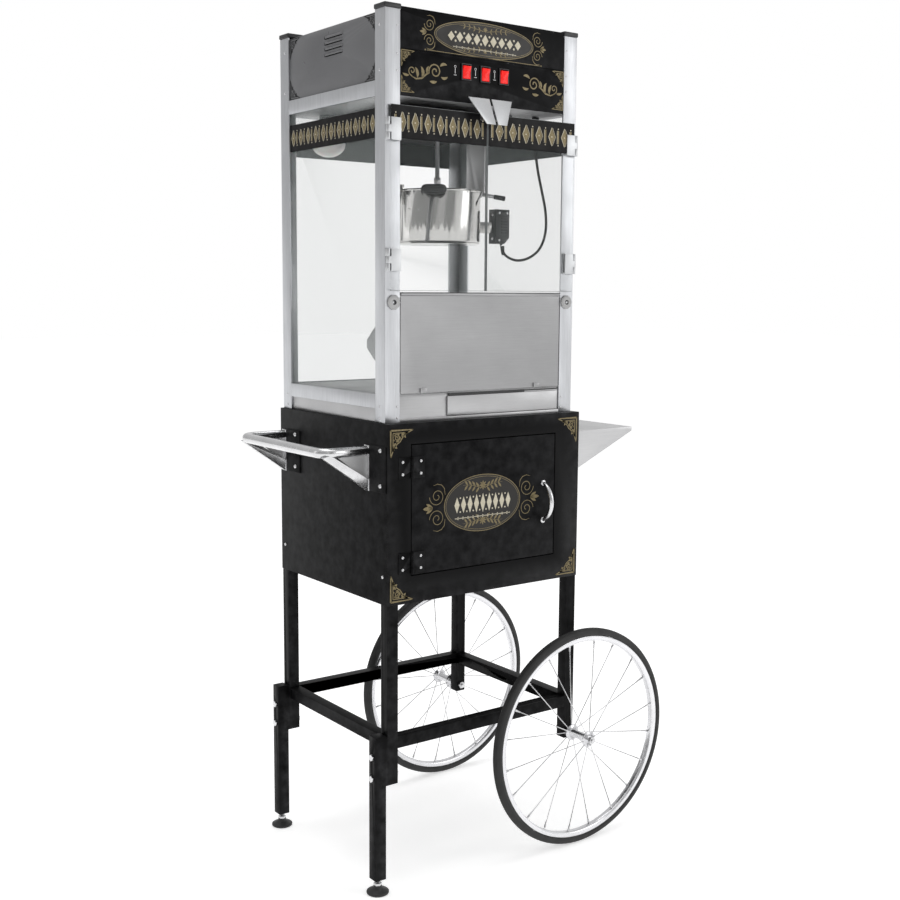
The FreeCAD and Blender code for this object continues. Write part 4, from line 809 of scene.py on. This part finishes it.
def add_foot(name):
    """Levelling foot: a ribbed pad, a hexagon nut and a threaded stem."""
    low, high = span(name)
    centre = Vector(((low.x + high.x) / 2, (low.y + high.y) / 2, 0))
    bm = bmesh.new()
    pad = [(TIP, 0.0), (0.0222, 0.0), (0.0240, 0.0012), (0.0245, 0.0030), (0.0243, 0.0050), (0.0225, 0.0064),
           (0.0190, 0.0078), (0.0130, 0.0110), (0.0098, 0.0138), (0.0092, 0.0150), (0.0092, 0.0180)]
    lathe(bm, pad, centre, (0, 0, 1), 56)
    fix_normals(bm)
    add_piece(f"{name}_pad", bm, name, "foot_black", replaces=[name])

    bm = bmesh.new()
    nut = [(0.0045, 0.0180), (0.0088, 0.0180), (0.0093, 0.0188), (0.0093, 0.0226), (0.0088, 0.0234),
           (0.0045, 0.0234)]
    lathe(bm, nut, centre, (0, 0, 1), 6, closed=True)
    thread = [(0.0044, 0.0234)]
    height = 0.0238
    while height < 0.0610:
        thread += [(0.0050, height), (0.0044, height + 0.0006)]
        height += 0.00125
    thread.append((TIP, 0.0618))
    lathe(bm, thread, centre, (0, 0, 1), 24)
    fix_normals(bm)
    add_piece(f"{name}_stem", bm, name, "zinc_bolts", smooth=False, replaces=[name])


# ------------------------------------------------------------------ ornament
def front_print(y, u, v):
    """Print on a front face: u to the right, v up, from the case's middle and the cabinet's top."""
    return Print((CASE_X + u * MM, y, CASE_Z + v * MM), (1, 0, 0), (0, 0, 1))


def medallion(ground, gold, cream, wide, tall, petals=8):
    """An oval frame of two lines with leaf sprays and a band of lozenges across it."""
    steps = 40
    outline = [(-wide / 2 + wide * step / steps, 0) for step in range(steps + 1)]
    ground.strip(outline, [tall * math.sqrt(max(1 - (2 * u / wide) ** 2, 0)) for u, _ in outline])
    gold.ring(0, 0, wide / 2, tall / 2, 1.7)
    gold.ring(0, 0, wide / 2 - 4.2, tall / 2 - 4.2, 0.9)
    band = tall * 0.17
    count = 9
    step = wide * 0.76 / count
    for index in range(count):
        u = (index - (count - 1) / 2) * step
        cream.lozenge(u, 0, step * 0.80, band * 2 * (1 - 0.045 * abs(index - (count - 1) / 2)))
    for index in range(count - 1):
        u = (index - (count - 2) / 2) * step
        cream.dot(u, band * 0.72, step * 0.11)
        cream.dot(u, -band * 0.72, step * 0.11)
    for side in (-1, 1):
        for sign in (-1, 1):
            stem = [(side * wide * share, sign * tall * (0.25 + 0.09 * math.sin(share * 7))) for share in
                    (0.02, 0.06, 0.10, 0.14, 0.18, 0.22, 0.26)]
            gold.strip(stem, [1.4, 1.2, 1.1, 1.0, 0.9, 0.7, 0.4])
            for share in (0.05, 0.10, 0.15, 0.20):
                for tilt in (-1, 1):
                    base = (side * wide * share, sign * tall * (0.25 + 0.09 * math.sin(share * 7)))
                    turn = (0 if side > 0 else math.pi) + side * tilt * 0.9
                    points, widths = leaf(base[0], base[1], tall * 0.115, turn)
                    gold.strip(points, widths)
    for index in range(petals):
        turn = 2 * math.pi * index / petals
        for sign in (-1, 1):
            points, widths = leaf(0, sign * tall * 0.31, tall * 0.085, turn)
            gold.strip(points, widths)


def side_scrolls(gold, wide, tall):
    """Two pairs of curls and a leaf fan at each end of a medallion."""
    for side in (-1, 1):
        for sign in (-1, 1):
            curl = spiral(0, 0, tall * 0.20, 1.7, math.radians(180), 1)
            gold.strip([(side * (wide / 2 + tall * 0.19 - a), sign * (tall * 0.24 + b))
                        for a, b in curl], 1.5)
            gold.strip([(side * (wide / 2 - tall * 0.02 + a), sign * (tall * 0.24 + b)) for a, b in
                        ((0, tall * 0.02), (tall * 0.02, tall * 0.16), (tall * 0.09, tall * 0.24),
                         (tall * 0.20, tall * 0.27), (tall * 0.31, tall * 0.24))], [0.8, 1.6, 1.6, 1.2, 0.5])
        for turn, length in ((0, 0.26), (0.55, 0.20), (-0.55, 0.20)):
            points, widths = leaf(0, 0, tall * length, turn)
            gold.strip([(side * (wide / 2 + tall * 0.30 + a), b) for a, b in points], widths)


def add_header_print():
    y = span("header_front")[0].y
    ground = front_print(y, -3, 795)
    ground.thick = 0.00012
    gold = front_print(y, -3, 795)
    cream = front_print(y - 0.00002, -3, 795)
    medallion(ground, gold, cream, 262, 70)
    ground.finish("header_ground", "frame", "brown_print", "black_gloss_panel")
    side_scrolls(gold, 262, 66)
    cream.strip([(-84, -20.5), (84, -20.5)], 1.2)
    for step in range(-5, 6):
        cream.lozenge(step * 15, -20.5, 6.5, 5.0)
    gold.strip([(-150, -35.2), (150, -35.2)], 1.2)
    for sign in (-1, 1):
        gold.dot(sign * 154, -35.2, 1.8)
    gold.finish("header_medallion", "frame", "gold_print", "black_gloss_panel")
    cream.finish("header_lozenges", "frame", "cream_print", "black_gloss_panel")

    lace = front_print(y, 0, 0)
    for su in (-1, 1):
        corner_lace(lace, su * 215.5, 753.5, -su, -1, 32)
        corner_lace(lace, su * 215.5, 672.0, -su, 1, 32)
        scroll_spray(lace, su * 158, 716, -su, 62)
    lace.finish("switch_panel_lace", "frame", "gold_print", "black_gloss_panel")

    marks = front_print(y, 0, 726)
    for middle in (-81, -28, 23):
        marks.strip([(middle, -5.5), (middle, 5.5)], 1.5)
        marks.strip([(middle - 3.6, -8.5), (middle + 3.6, -8.5)], 1.2)
        marks.ring(middle, 8.6, 2.2, 2.2, 0.9, 20)
    marks.finish("switch_marks", "frame", "white_print", "black_gloss_panel")


def add_cabinet_print():
    y = span("cabinet_door")[0].y
    ground = front_print(y, -14, -184.5)
    ground.thick = 0.00012
    gold = front_print(y, -14, -184.5)
    cream = front_print(y - 0.00002, -14, -184.5)
    medallion(ground, gold, cream, 208, 124)
    ground.finish("door_ground", "cabinet_door", "brown_print", "black_gloss_panel")
    side_scrolls(gold, 208, 100)
    cream.strip([(-76, -29), (76, -29)], 1.6)
    for step in range(-5, 6):
        cream.lozenge(step * 13.5, -29, 6.5, 7.0)
    gold.finish("door_medallion", "cabinet_door", "gold_print", "black_gloss_panel")
    cream.finish("door_lozenges", "cabinet_door", "cream_print", "black_gloss_panel")

    lace = front_print(span("cabinet_face")[0].y, 0, 0)
    for su in (-1, 1):
        corner_lace(lace, su * 255, -13, -su, -1, 56)
        corner_lace(lace, su * 255, -374, -su, 1, 56)
    lace.finish("cabinet_lace", "frame", "gold_print", "black_gloss_panel")


def frieze(gold, cream, length, tall):
    """A row of tall lozenges between bars, as on a printed border."""
    count = max(3, round(length / 34))
    step = length / count
    for index in range(count):
        u = -length / 2 + (index + 0.5) * step
        gold.lozenge(u, 0, step * 0.50, tall)
        cream.strip([(u, -tall / 2), (u - step * 0.25, 0), (u, tall / 2)], 1.3)
        cream.strip([(u + step * 0.06, -tall / 2 + 1), (u + step * 0.29, 0),
                     (u + step * 0.06, tall / 2 - 1)], 0.9)
        cream.dot(u, 0, 1.6)
    for index in range(count + 1):
        u = -length / 2 + index * step
        gold.strip([(u, -tall * 0.36), (u, tall * 0.36)], step * 0.13)
        cream.strip([(u - step * 0.085, -tall * 0.36), (u - step * 0.085, tall * 0.36)], 0.9)
        cream.dot(u, tall * 0.45, 1.5)
        cream.dot(u, -tall * 0.45, 1.5)


def add_banner(name, body, origin, across, length, low, high):
    """A black band across a pane, with a printed frieze on its outer side."""
    up = Vector((0, 0, 1))
    middle = Vector(origin) + up * (low + high) / 2 * MM
    film = Print(middle, across, up, 0.0003)
    film.strip([(-length / 2, 0), (length / 2, 0)], high - low)
    film.finish(f"{name}_band", body, "film", "clear_glass")
    lifted = middle + film.out * 0.0003
    gold = Print(lifted, across, up, 0.0002)
    cream = Print(lifted + film.out * 0.00002, across, up, 0.0002)
    frieze(gold, cream, length - 22, (high - low) * 0.60)
    gold.finish(f"{name}_gold", body, "gold_print", "clear_glass")
    cream.finish(f"{name}_cream", body, "cream_print", "clear_glass")


def add_banners():
    for name in ("door_left", "door_right"):
        low, high = span(f"{name}_pane")
        add_banner(f"{name}_banner", name, ((low.x + high.x) / 2, low.y, CASE_Z), (1, 0, 0),
                   (high.x - low.x) / MM - 1, 578, 643.5)
    low, high = span("glass_panels")
    middle_y = (low.y + high.y) / 2
    deep = (high.y - low.y) / MM - 46
    add_banner("left_banner", "frame", (low.x - 0.00005, middle_y, CASE_Z), (0, -1, 0), deep + 6, 581, 640)
    add_banner("right_banner", "frame", (high.x + 0.00005, middle_y, CASE_Z), (0, 1, 0), deep + 6, 577.5, 640)
    add_banner("rear_banner", "frame", (CASE_X, high.y + 0.00005, CASE_Z), (-1, 0, 0), 436, 575, 640)


def add_side_lace():
    """Dark lace in the corners of the header's two sides."""
    low, high = span("header_shell")
    for name, origin, across in (("left", (low.x, CASE_Y, CASE_Z), (0, -1, 0)),
                                 ("right", (high.x, CASE_Y, CASE_Z), (0, 1, 0))):
        lace = Print(origin, across, (0, 0, 1))
        for su in (-1, 1):
            corner_lace(lace, su * 176, 826, -su, -1, 42)
            corner_lace(lace, su * 176, 696, -su, 1, 42)
        lace.finish(f"header_{name}_lace", "frame", "dark_print", "header_grey")


# ------------------------------------------------------------------ details on the case and the cabinet
def add_louvres():
    """Pressed hoods over the slots in the header's sides."""
    low, high = span("header_shell")
    for label, x, sign in (("left", low.x, -1), ("right", high.x, 1)):
        bm = bmesh.new()
        for number in range(4):
            top = CASE_Z + (810 - 12 * number + 1.0) * MM
            rows = []
            for step in range(25):
                share = step / 24
                y = CASE_Y + (-39.5 - 10 + 73 * share) * MM
                swell = min(1.0, math.sin(math.pi * min(max(share, 0.001), 0.999)) * 3.2) ** 0.5
                ridge = 0.0030 * swell
                rows.append([bm.verts.new((x, y, top)),
                             bm.verts.new((x + sign * ridge * 0.75, y, top - 0.0022)),
                             bm.verts.new((x + sign * ridge, y, top - 0.0048)),
                             bm.verts.new((x + sign * ridge * 0.9, y, top - 0.0060)),
                             bm.verts.new((x + sign * ridge * 0.55, y, top - 0.0052))])
            for row, after in zip(rows, rows[1:]):
                for step in range(4):
                    bm.faces.new((row[step], row[step + 1], after[step + 1], after[step]))
        fix_normals(bm)
        add_piece(f"header_{label}_louvres", bm, "frame", "header_grey")


def add_post_screws():
    """Small screws in the posts' faces, at the base and at the header."""
    bm = bmesh.new()
    front = span("post_front_left")[0].y
    for x in (CASE_LOW.x + 0.030, CASE_HIGH.x - 0.030):
        for height in (10, 34, 712, 745, 800):
            screw_head(bm, (x, front, CASE_Z + height * MM), (0, -1, 0), 0.0024, 0.0012)
    for y in (front + 0.020, CASE_HIGH.y - 0.020):
        for height in (10, 34, 712, 800):
            screw_head(bm, (CASE_LOW.x, y, CASE_Z + height * MM), (-1, 0, 0), 0.0024, 0.0012)
            screw_head(bm, (CASE_HIGH.x, y, CASE_Z + height * MM), (1, 0, 0), 0.0024, 0.0012)
    for x in (CASE_LOW.x + 0.020, CASE_HIGH.x - 0.020):
        for height in (10, 34, 712, 800):
            screw_head(bm, (x, CASE_HIGH.y, CASE_Z + height * MM), (0, 1, 0), 0.0024, 0.0012)
    fix_normals(bm)
    add_piece("post_screws", bm, "frame", "zinc_bolts")


def not_small(limit):
    return lambda low, high: max(high - low) >= limit * MM


def add_screws_for(node, limit, material="zinc_bolts"):
    """Detailed pan heads in place of a node's small domed solids."""
    bm = clean_copy(node)
    heads = bmesh.new()
    for group, low, high in islands(bm):
        size = high - low
        if max(size) >= limit * MM:
            continue
        thin = min(range(3), key=lambda axis: size[axis])
        radius = max(size) / 2
        middle = (low + high) / 2
        outside = middle[thin]
        sign = 1 if outside > (CASE_X if thin == 0 else 0) else -1
        seat = middle.copy()
        seat[thin] = low[thin] if sign > 0 else high[thin]
        outward = Vector((0, 0, 0))
        outward[thin] = sign
        screw_head(heads, seat, outward, radius, size[thin])
    bm.free()
    fix_normals(heads)
    add_piece(f"{node}_heads", heads, BODY_OF[node], material, replaces=[node])


def add_bow_pull():
    """The cabinet door's bright bow: a bar that thickens towards its middle, on two round seats."""
    bm = clean_copy("cabinet_door_fittings")
    for group, low, high in islands(bm):
        if high.z - low.z > 0.08:
            break
    bm.free()
    front = span("cabinet_door")[0].y
    middle_z = (low.z + high.z) / 2
    x = (low.x + high.x) / 2
    half, rise = 0.0425, front - low.y - 0.004
    radius = (half ** 2 + rise ** 2) / (2 * rise)
    reach = math.asin(half / radius)
    points, radii = [], []
    for step in range(41):
        share = step / 40
        turn = -reach + 2 * reach * share
        bow = radius * math.cos(turn) - (radius - rise)
        points.append(Vector((x, front - bow, middle_z + radius * math.sin(turn))))
        radii.append(0.0040 + 0.0016 * math.sin(math.pi * share))
    bar = bmesh.new()
    tube(bar, points, radii, 20)
    for end in (points[0], points[-1]):
        lathe(bar, [(0.0068, 0.0), (0.0068, 0.0014), (0.0058, 0.0024), (0.0030, 0.0030), (TIP, 0.0030)],
              (end.x, front, end.z), (0, -1, 0), 28)
    fix_normals(bar)
    add_piece("bow_pull", bar, "cabinet_door", "chrome_plate",
              replaces=["cabinet_door_fittings"])


KETTLE_AXIS = (29, 10)
KETTLE_R = 0.099


def add_kettle():
    """Spun pot with a rolled rim, a riveted ear on each side and the lid's moulded grip."""
    refine("kettle_pot", 1.0)
    centre = at_case(*KETTLE_AXIS, 0)
    top = CASE_Z + 0.498
    bm = bmesh.new()
    rim = [(KETTLE_R - 0.0002, -0.0046), (KETTLE_R + 0.0008, -0.0040), (KETTLE_R + 0.0013, -0.0024),
           (KETTLE_R + 0.0010, -0.0006), (KETTLE_R - 0.0002, 0.0004), (KETTLE_R - 0.0014, 0.0),
           (KETTLE_R - 0.0018, -0.0012)]
    lathe(bm, rim, (centre.x, centre.y, top), (0, 0, 1), 120)
    for angle in (150, 165, 195, 210):
        turn = math.radians(angle)
        outward = Vector((math.cos(turn), math.sin(turn), 0))
        place = Vector((centre.x, centre.y, top - 0.045)) + outward * (KETTLE_R - 0.0001)
        screw_head(bm, place, outward, 0.0026, 0.0012, cross=False)
    fix_normals(bm)
    add_piece("kettle_rim", bm, "kettle", "polished_stainless")

    turn = math.radians(230.6)
    outward = Vector((math.cos(turn), math.sin(turn), 0))
    refine_lid(outward, Vector((-outward.y, outward.x, 0)))


def refine_lid(outward, along):
    """The lid's half disc and bridge in metal, and a rounded black grip over its edge."""
    centre = at_case(*KETTLE_AXIS, 0)
    bm = clean_copy("kettle_lid")
    edge = KETTLE_R + 0.0008
    plane = Vector((centre.x, centre.y, 0)) + outward * edge
    geometry = bm.verts[:] + bm.edges[:] + bm.faces[:]
    bmesh.ops.bisect_plane(bm, geom=geometry, plane_co=plane, plane_no=outward, clear_outer=True)
    disc = add_piece("kettle_lid_disc", bm, "kettle_lid", "polished_stainless",
                     replaces=["kettle_lid"])
    rounded(disc, 0.6)

    low, high = CASE_Z + 0.4832, CASE_Z + 0.5068
    bm = bmesh.new()
    middle = Vector((centre.x, centre.y, (low + high) / 2)) + outward * (KETTLE_R + 0.0115)
    rows = []
    for step in range(21):
        share = step / 20
        place = -0.0285 + 0.057 * share
        swell = (1 - abs(2 * share - 1) ** 3.2) ** 0.5 if 0 < share < 1 else 0.0
        swell = 0.16 + 0.84 * swell
        waist = 1.0 - 0.06 * math.cos(2 * math.pi * (share - 0.5))
        row = []
        for turn in range(24):
            angle = 2 * math.pi * turn / 24
            a, b = math.cos(angle), math.sin(angle)
            a = math.copysign(abs(a) ** 0.62, a)
            b = math.copysign(abs(b) ** 0.62, b)
            row.append(bm.verts.new(middle + along * place + outward * a * 0.0097 * swell * waist
                                    + Vector((0, 0, b * 0.0115 * swell * waist))))
        rows.append(row)
    for row, after in zip(rows, rows[1:]):
        for turn in range(24):
            bm.faces.new((row[turn], row[(turn + 1) % 24], after[(turn + 1) % 24], after[turn]))
    for row in (rows[0], rows[-1]):
        bm.faces.new(row)
    for side in (-1, 1):
        screw_head(bm, middle + along * side * 0.008 + outward * 0.0092, outward, 0.0024, 0.0010)
    fix_normals(bm)
    add_piece("kettle_lid_grip", bm, "kettle_lid", "black_plastic")


def add_plug_details():
    """The kettle's terminal plug: one lower corner cut off, screws in its faces and finger ribs."""
    low, high = span("kettle_plug")
    bm = clean_copy("kettle_plug")
    corner = Vector((high.x, 0, CASE_Z + 0.3955))
    cut = bmesh.ops.bisect_plane(bm, geom=bm.verts[:] + bm.edges[:] + bm.faces[:], plane_co=corner,
                                 plane_no=Vector((0.012, 0, -0.0125)).normalized(), clear_outer=True)
    rims = [item for item in cut["geom_cut"] if isinstance(item, bmesh.types.BMEdge)]
    bmesh.ops.holes_fill(bm, edges=rims)
    shell = add_piece("kettle_plug_shell", bm, "kettle", "black_plastic",
                      replaces=["kettle_plug"])
    rounded(shell, 2.0)
    bottom = CASE_Z + 0.382
    left = low.x
    bm = bmesh.new()
    for height in (0.012, 0.066):
        screw_head(bm, (left, (low.y + high.y) / 2, bottom + height), (-1, 0, 0), 0.0030, 0.0010)
    for x in (low.x + 0.010, high.x - 0.006):
        for height in (0.008, 0.070):
            screw_head(bm, (x, low.y, bottom + height), (0, -1, 0), 0.0026, 0.0010)
    fix_normals(bm)
    add_piece("kettle_plug_screws", bm, "kettle", "zinc_bolts")
    bm = bmesh.new()
    for number in range(6):
        z = bottom + 0.024 + 0.0065 * number
        soft_box(bm, (low.x + 0.016, low.y - 0.0009, z), (high.x - 0.005, low.y + 0.0005, z + 0.0030))
    ribs = add_piece("kettle_plug_ribs", bm, "kettle", "black_plastic")
    rounded(ribs, 0.5)


def add_lamp():
    """A frosted bulb on a threaded metal neck under its holder."""
    low, high = span("lamp_bulb")
    centre = Vector(((low.x + high.x) / 2, (low.y + high.y) / 2, low.z + 0.016))
    tall = high.z - centre.z
    wide = (high.x - low.x) / 2
    profile = [(TIP, 0.0)]
    for step in range(1, 25):
        turn = math.pi * 0.70 * step / 24
        profile.append((wide * math.sin(turn), 0.030 * (1 - math.cos(turn))))
    start_r, start_h = profile[-1]
    for step in range(1, 9):
        share = step / 8
        ease = share * share * (3 - 2 * share)
        profile.append((start_r + (0.0142 - start_r) * ease, start_h + (tall - 0.016 - start_h) * share))
    bm = bmesh.new()
    lathe(bm, profile, centre, (0, 0, 1), 64)
    fix_normals(bm)
    add_piece("lamp_bulb_globe", bm, "frame", "frosted_lamp", replaces=["lamp_bulb"])
    neck = [(0.0142, tall - 0.0165)]
    for step in range(5):
        neck += [(0.0138, tall - 0.0150 + 0.003 * step), (0.0125, tall - 0.0135 + 0.003 * step)]
    bm = bmesh.new()
    lathe(bm, neck, centre, (0, 0, 1), 40)
    fix_normals(bm)
    add_piece("lamp_bulb_thread", bm, "frame", "zinc_bolts")


def add_housing_details():
    """Painted shade of the vent slots, as dark strips, and screws on the motor housing."""
    low, high = span("motor_housing")
    bm = bmesh.new()
    for side_y, sign in ((low.y, -1), (high.y, 1)):
        for number in range(12):
            x = low.x + 0.050 + number * 0.0185
            near, far = sorted((side_y, side_y + sign * 0.0009))
            # Each dark strip is painted shade where a vent slot opens.
            soft_box(bm, (x, near, low.z + 0.010), (x + 0.0045, far, high.z - 0.012))
    slot_shade = add_piece("motor_housing_slot_shade", bm, "frame", "dark_print")
    rounded(slot_shade, 0.4)
    bm = bmesh.new()
    for x in (low.x + 0.012, (low.x + high.x) / 2, high.x - 0.012):
        screw_head(bm, (x, low.y, low.z + 0.008), (0, -1, 0), 0.003, 0.0014)
        screw_head(bm, (x, high.y, low.z + 0.008), (0, 1, 0), 0.003, 0.0014)
    for y in (low.y + 0.02, (low.y + high.y) / 2, high.y - 0.02):
        screw_head(bm, (low.x, y, low.z + 0.008), (-1, 0, 0), 0.003, 0.0014)
    fix_normals(bm)
    add_piece("motor_housing_screws", bm, "frame", "zinc_bolts")


def add_handle_grip():
    """The kettle's tilting handle: a moulded sleeve with grooves over the steel rod."""
    start = at_case(*KETTLE_AXIS, 493) + Vector((0.806, -0.592, 0)) * (KETTLE_R - 0.005)
    outward = Vector((0.806, -0.592, -0.17)).normalized()
    bm = bmesh.new()
    lathe(bm, [(TIP, 0.0052), (0.0040, 0.0052), (0.0040, 0.040), (TIP, 0.040)], start, outward, 24)
    lathe(bm, [(0.0040, 0.0056), (0.0072, 0.0060), (0.0072, 0.0084), (0.0040, 0.0092)], start, outward, 24)
    fix_normals(bm)
    add_piece("kettle_handle_rod", bm, "kettle", "steel_shaft",
              replaces=["kettle_handle"])
    bm = bmesh.new()
    profile = [(0.0041, 0.0362), (0.0048, 0.0364), (0.0054, 0.0376)]
    for step in range(4):
        base = 0.0400 + 0.0046 * step
        profile += [(0.0055, base), (0.0050, base + 0.0010), (0.0050, base + 0.0018), (0.0055, base + 0.0028)]
    profile += [(0.0055, 0.0600), (0.0046, 0.0624), (TIP, 0.0629)]
    lathe(bm, profile, start, outward, 32)
    fix_normals(bm)
    add_piece("kettle_handle_sleeve", bm, "kettle", "black_plastic")


def add_handle_gussets():
    """Satin web plates between the push handle's arms and their braces."""
    low, high = span("push_handle")
    top = CABINET_HIGH.z - 0.061
    root = high.x - 0.003
    bm = bmesh.new()
    for arm in (-0.152, 0.206):
        corners = [(low.x + 0.045, top - 0.010), (root, top - 0.010), (root, top - 0.064)]
        faces = [[bm.verts.new((x, arm + side, z)) for x, z in corners] for side in (-0.0019, 0.0019)]
        bm.faces.new(faces[0])
        bm.faces.new(faces[1][::-1])
        for step in range(3):
            after = (step + 1) % 3
            bm.faces.new((faces[0][step], faces[1][step], faces[1][after], faces[0][after]))
    fix_normals(bm)
    rounded(add_piece("handle_gussets", bm, "frame", "satin_zinc", smooth=False), 0.4)


def add_pivot_knobs():
    """Moulded knobs over the dump panel's two pivots, on the faces of the front posts."""
    front = span("post_front_left")[0].y
    bm = bmesh.new()
    knob = [(0.0135, 0.0), (0.0150, 0.0008), (0.0150, 0.0026), (0.0142, 0.0036), (0.0090, 0.0042),
            (0.0052, 0.0042)]
    for side in (-1, 1):
        lathe(bm, knob, (CASE_X + side * 0.2345, front, CASE_Z + 0.249), (0, -1, 0), 48)
        for step in range(10):
            turn = 2 * math.pi * step / 10
            place = (CASE_X + side * 0.2345 + 0.0146 * math.cos(turn), front - 0.0003,
                     CASE_Z + 0.249 + 0.0146 * math.sin(turn))
            lathe(bm, [(0.0012, 0.0), (0.0012, 0.0030), (TIP, 0.0032)], place, (0, -1, 0), 8)
    fix_normals(bm)
    add_piece("dump_pivot_knobs", bm, "frame", "knob_grey")


def add_glass_edges():
    """The darker ground edges of the two door panes."""
    for name in ("door_left", "door_right"):
        low, high = span(f"{name}_pane")
        inner = high.x if name == "door_left" else low.x
        bm = bmesh.new()
        soft_box(bm, (inner - 0.0005, low.y - 0.0002, low.z), (inner + 0.0005, high.y + 0.0002, high.z))
        soft_box(bm, (low.x, low.y - 0.0001, high.z - 0.0006), (high.x, high.y + 0.0001, high.z + 0.0002))
        soft_box(bm, (low.x, low.y - 0.0001, low.z - 0.0002), (high.x, high.y + 0.0001, low.z + 0.0006))
        edge = add_piece(f"{name}_edges", bm, name, "glass_edge")
        rounded(edge, 0.2)


def add_drawer_gap_shade():
    """A black strip of painted shade in the gap between the dump panel and the crumb drawer."""
    low, high = span("crumb_drawer")
    front = span("case_base")[0].y
    bm = bmesh.new()
    # Dark strips of painted shade along the gap.
    soft_box(bm, (low.x + 0.002, front - 0.0004, CASE_Z + 0.0506),
             (low.x + 0.212, front + 0.0006, CASE_Z + 0.0565))
    soft_box(bm, (low.x + 0.212, front - 0.0004, CASE_Z + 0.0530), (high.x, front + 0.0006, CASE_Z + 0.0560))
    rounded(add_piece("drawer_gap_shade", bm, "frame", "black_plastic"), 0.4)


# ------------------------------------------------------------------ everything in place
FINISH = {
    "cabinet_face": "black_frame_panel", "side_shelf": "shelf_steel", "case_base": "stainless_light",
    "crumb_drawer": "stainless_light", "kettle_hanger": "satin_zinc",
}
for node_name, node_object in frame["nodes"].items():
    for material_slot in node_object.material_slots:
        material_slot.material = MATERIALS[slot_of(node_name)]

add_camera()
add_cord()
add_studio()

for node_name, width in (
        ("leg_front_left", 2.0), ("leg_front_right", 2.0), ("leg_rear_left", 2.0), ("leg_rear_right", 2.0),
        ("lower_legs", 2.0), ("cart_rails", 2.0), ("cabinet_body", 0.7), ("cabinet_face", 0.7),
        ("cabinet_door", 1.2), ("cabinet_hinges", 0.5), ("handle_plates", 0.8), ("push_handle", 0.7),
        ("side_shelf", 0.7), ("post_front_left", 0.8), ("post_front_right", 0.8), ("post_rear_left", 0.8),
        ("post_rear_right", 0.8), ("post_caps", 2.4), ("case_bars", 0.6), ("case_base", 0.6), ("deck", 0.4),
        ("crumb_drawer", 0.6), ("header_front", 0.5), ("header_shell", 0.5), ("header_floor", 0.4),
        ("switch_bezels", 0.8), ("post_fittings", 0.7), ("motor_housing", 1.0), ("kettle_hanger", 0.5),
        ("dump_panel", 0.6), ("door_left_fittings", 0.7), ("door_right_fittings", 0.7),
        ("rocker_1", 0.8), ("rocker_2", 0.8), ("rocker_3", 0.8), ("glass_panels", 0.4),
        ("door_left_pane", 0.5),
        ("door_right_pane", 0.5), ("wheel_axles", 0.6), ("stirrer", 0.5), ("drive_shaft", 0.6),
        ("lamp_holder_and_gland", 0.8)):
    refine(node_name, width, material=FINISH.get(node_name))

refine("cabinet_door_fittings", 0.5, only=lambda low, high: 0.02 < high.z - low.z < 0.08, suffix="leaves")
add_screws_for("cabinet_door_fittings", 12)
refine("frame_bolts", 0.6, only=not_small(12), suffix="bolts")
add_screws_for("frame_bolts", 12)
add_bow_pull()
for wheel in ("wheel_front", "wheel_rear"):
    add_wheel(wheel)
for foot in ("foot_front", "foot_rear"):
    add_foot(foot)
add_kettle()
add_plug_details()
add_handle_grip()
add_lamp()
add_housing_details()
add_louvres()
add_post_screws()
add_header_print()
add_cabinet_print()
add_banners()
add_side_lace()
add_handle_gussets()
add_pivot_knobs()
add_glass_edges()
add_drawer_gap_shade()
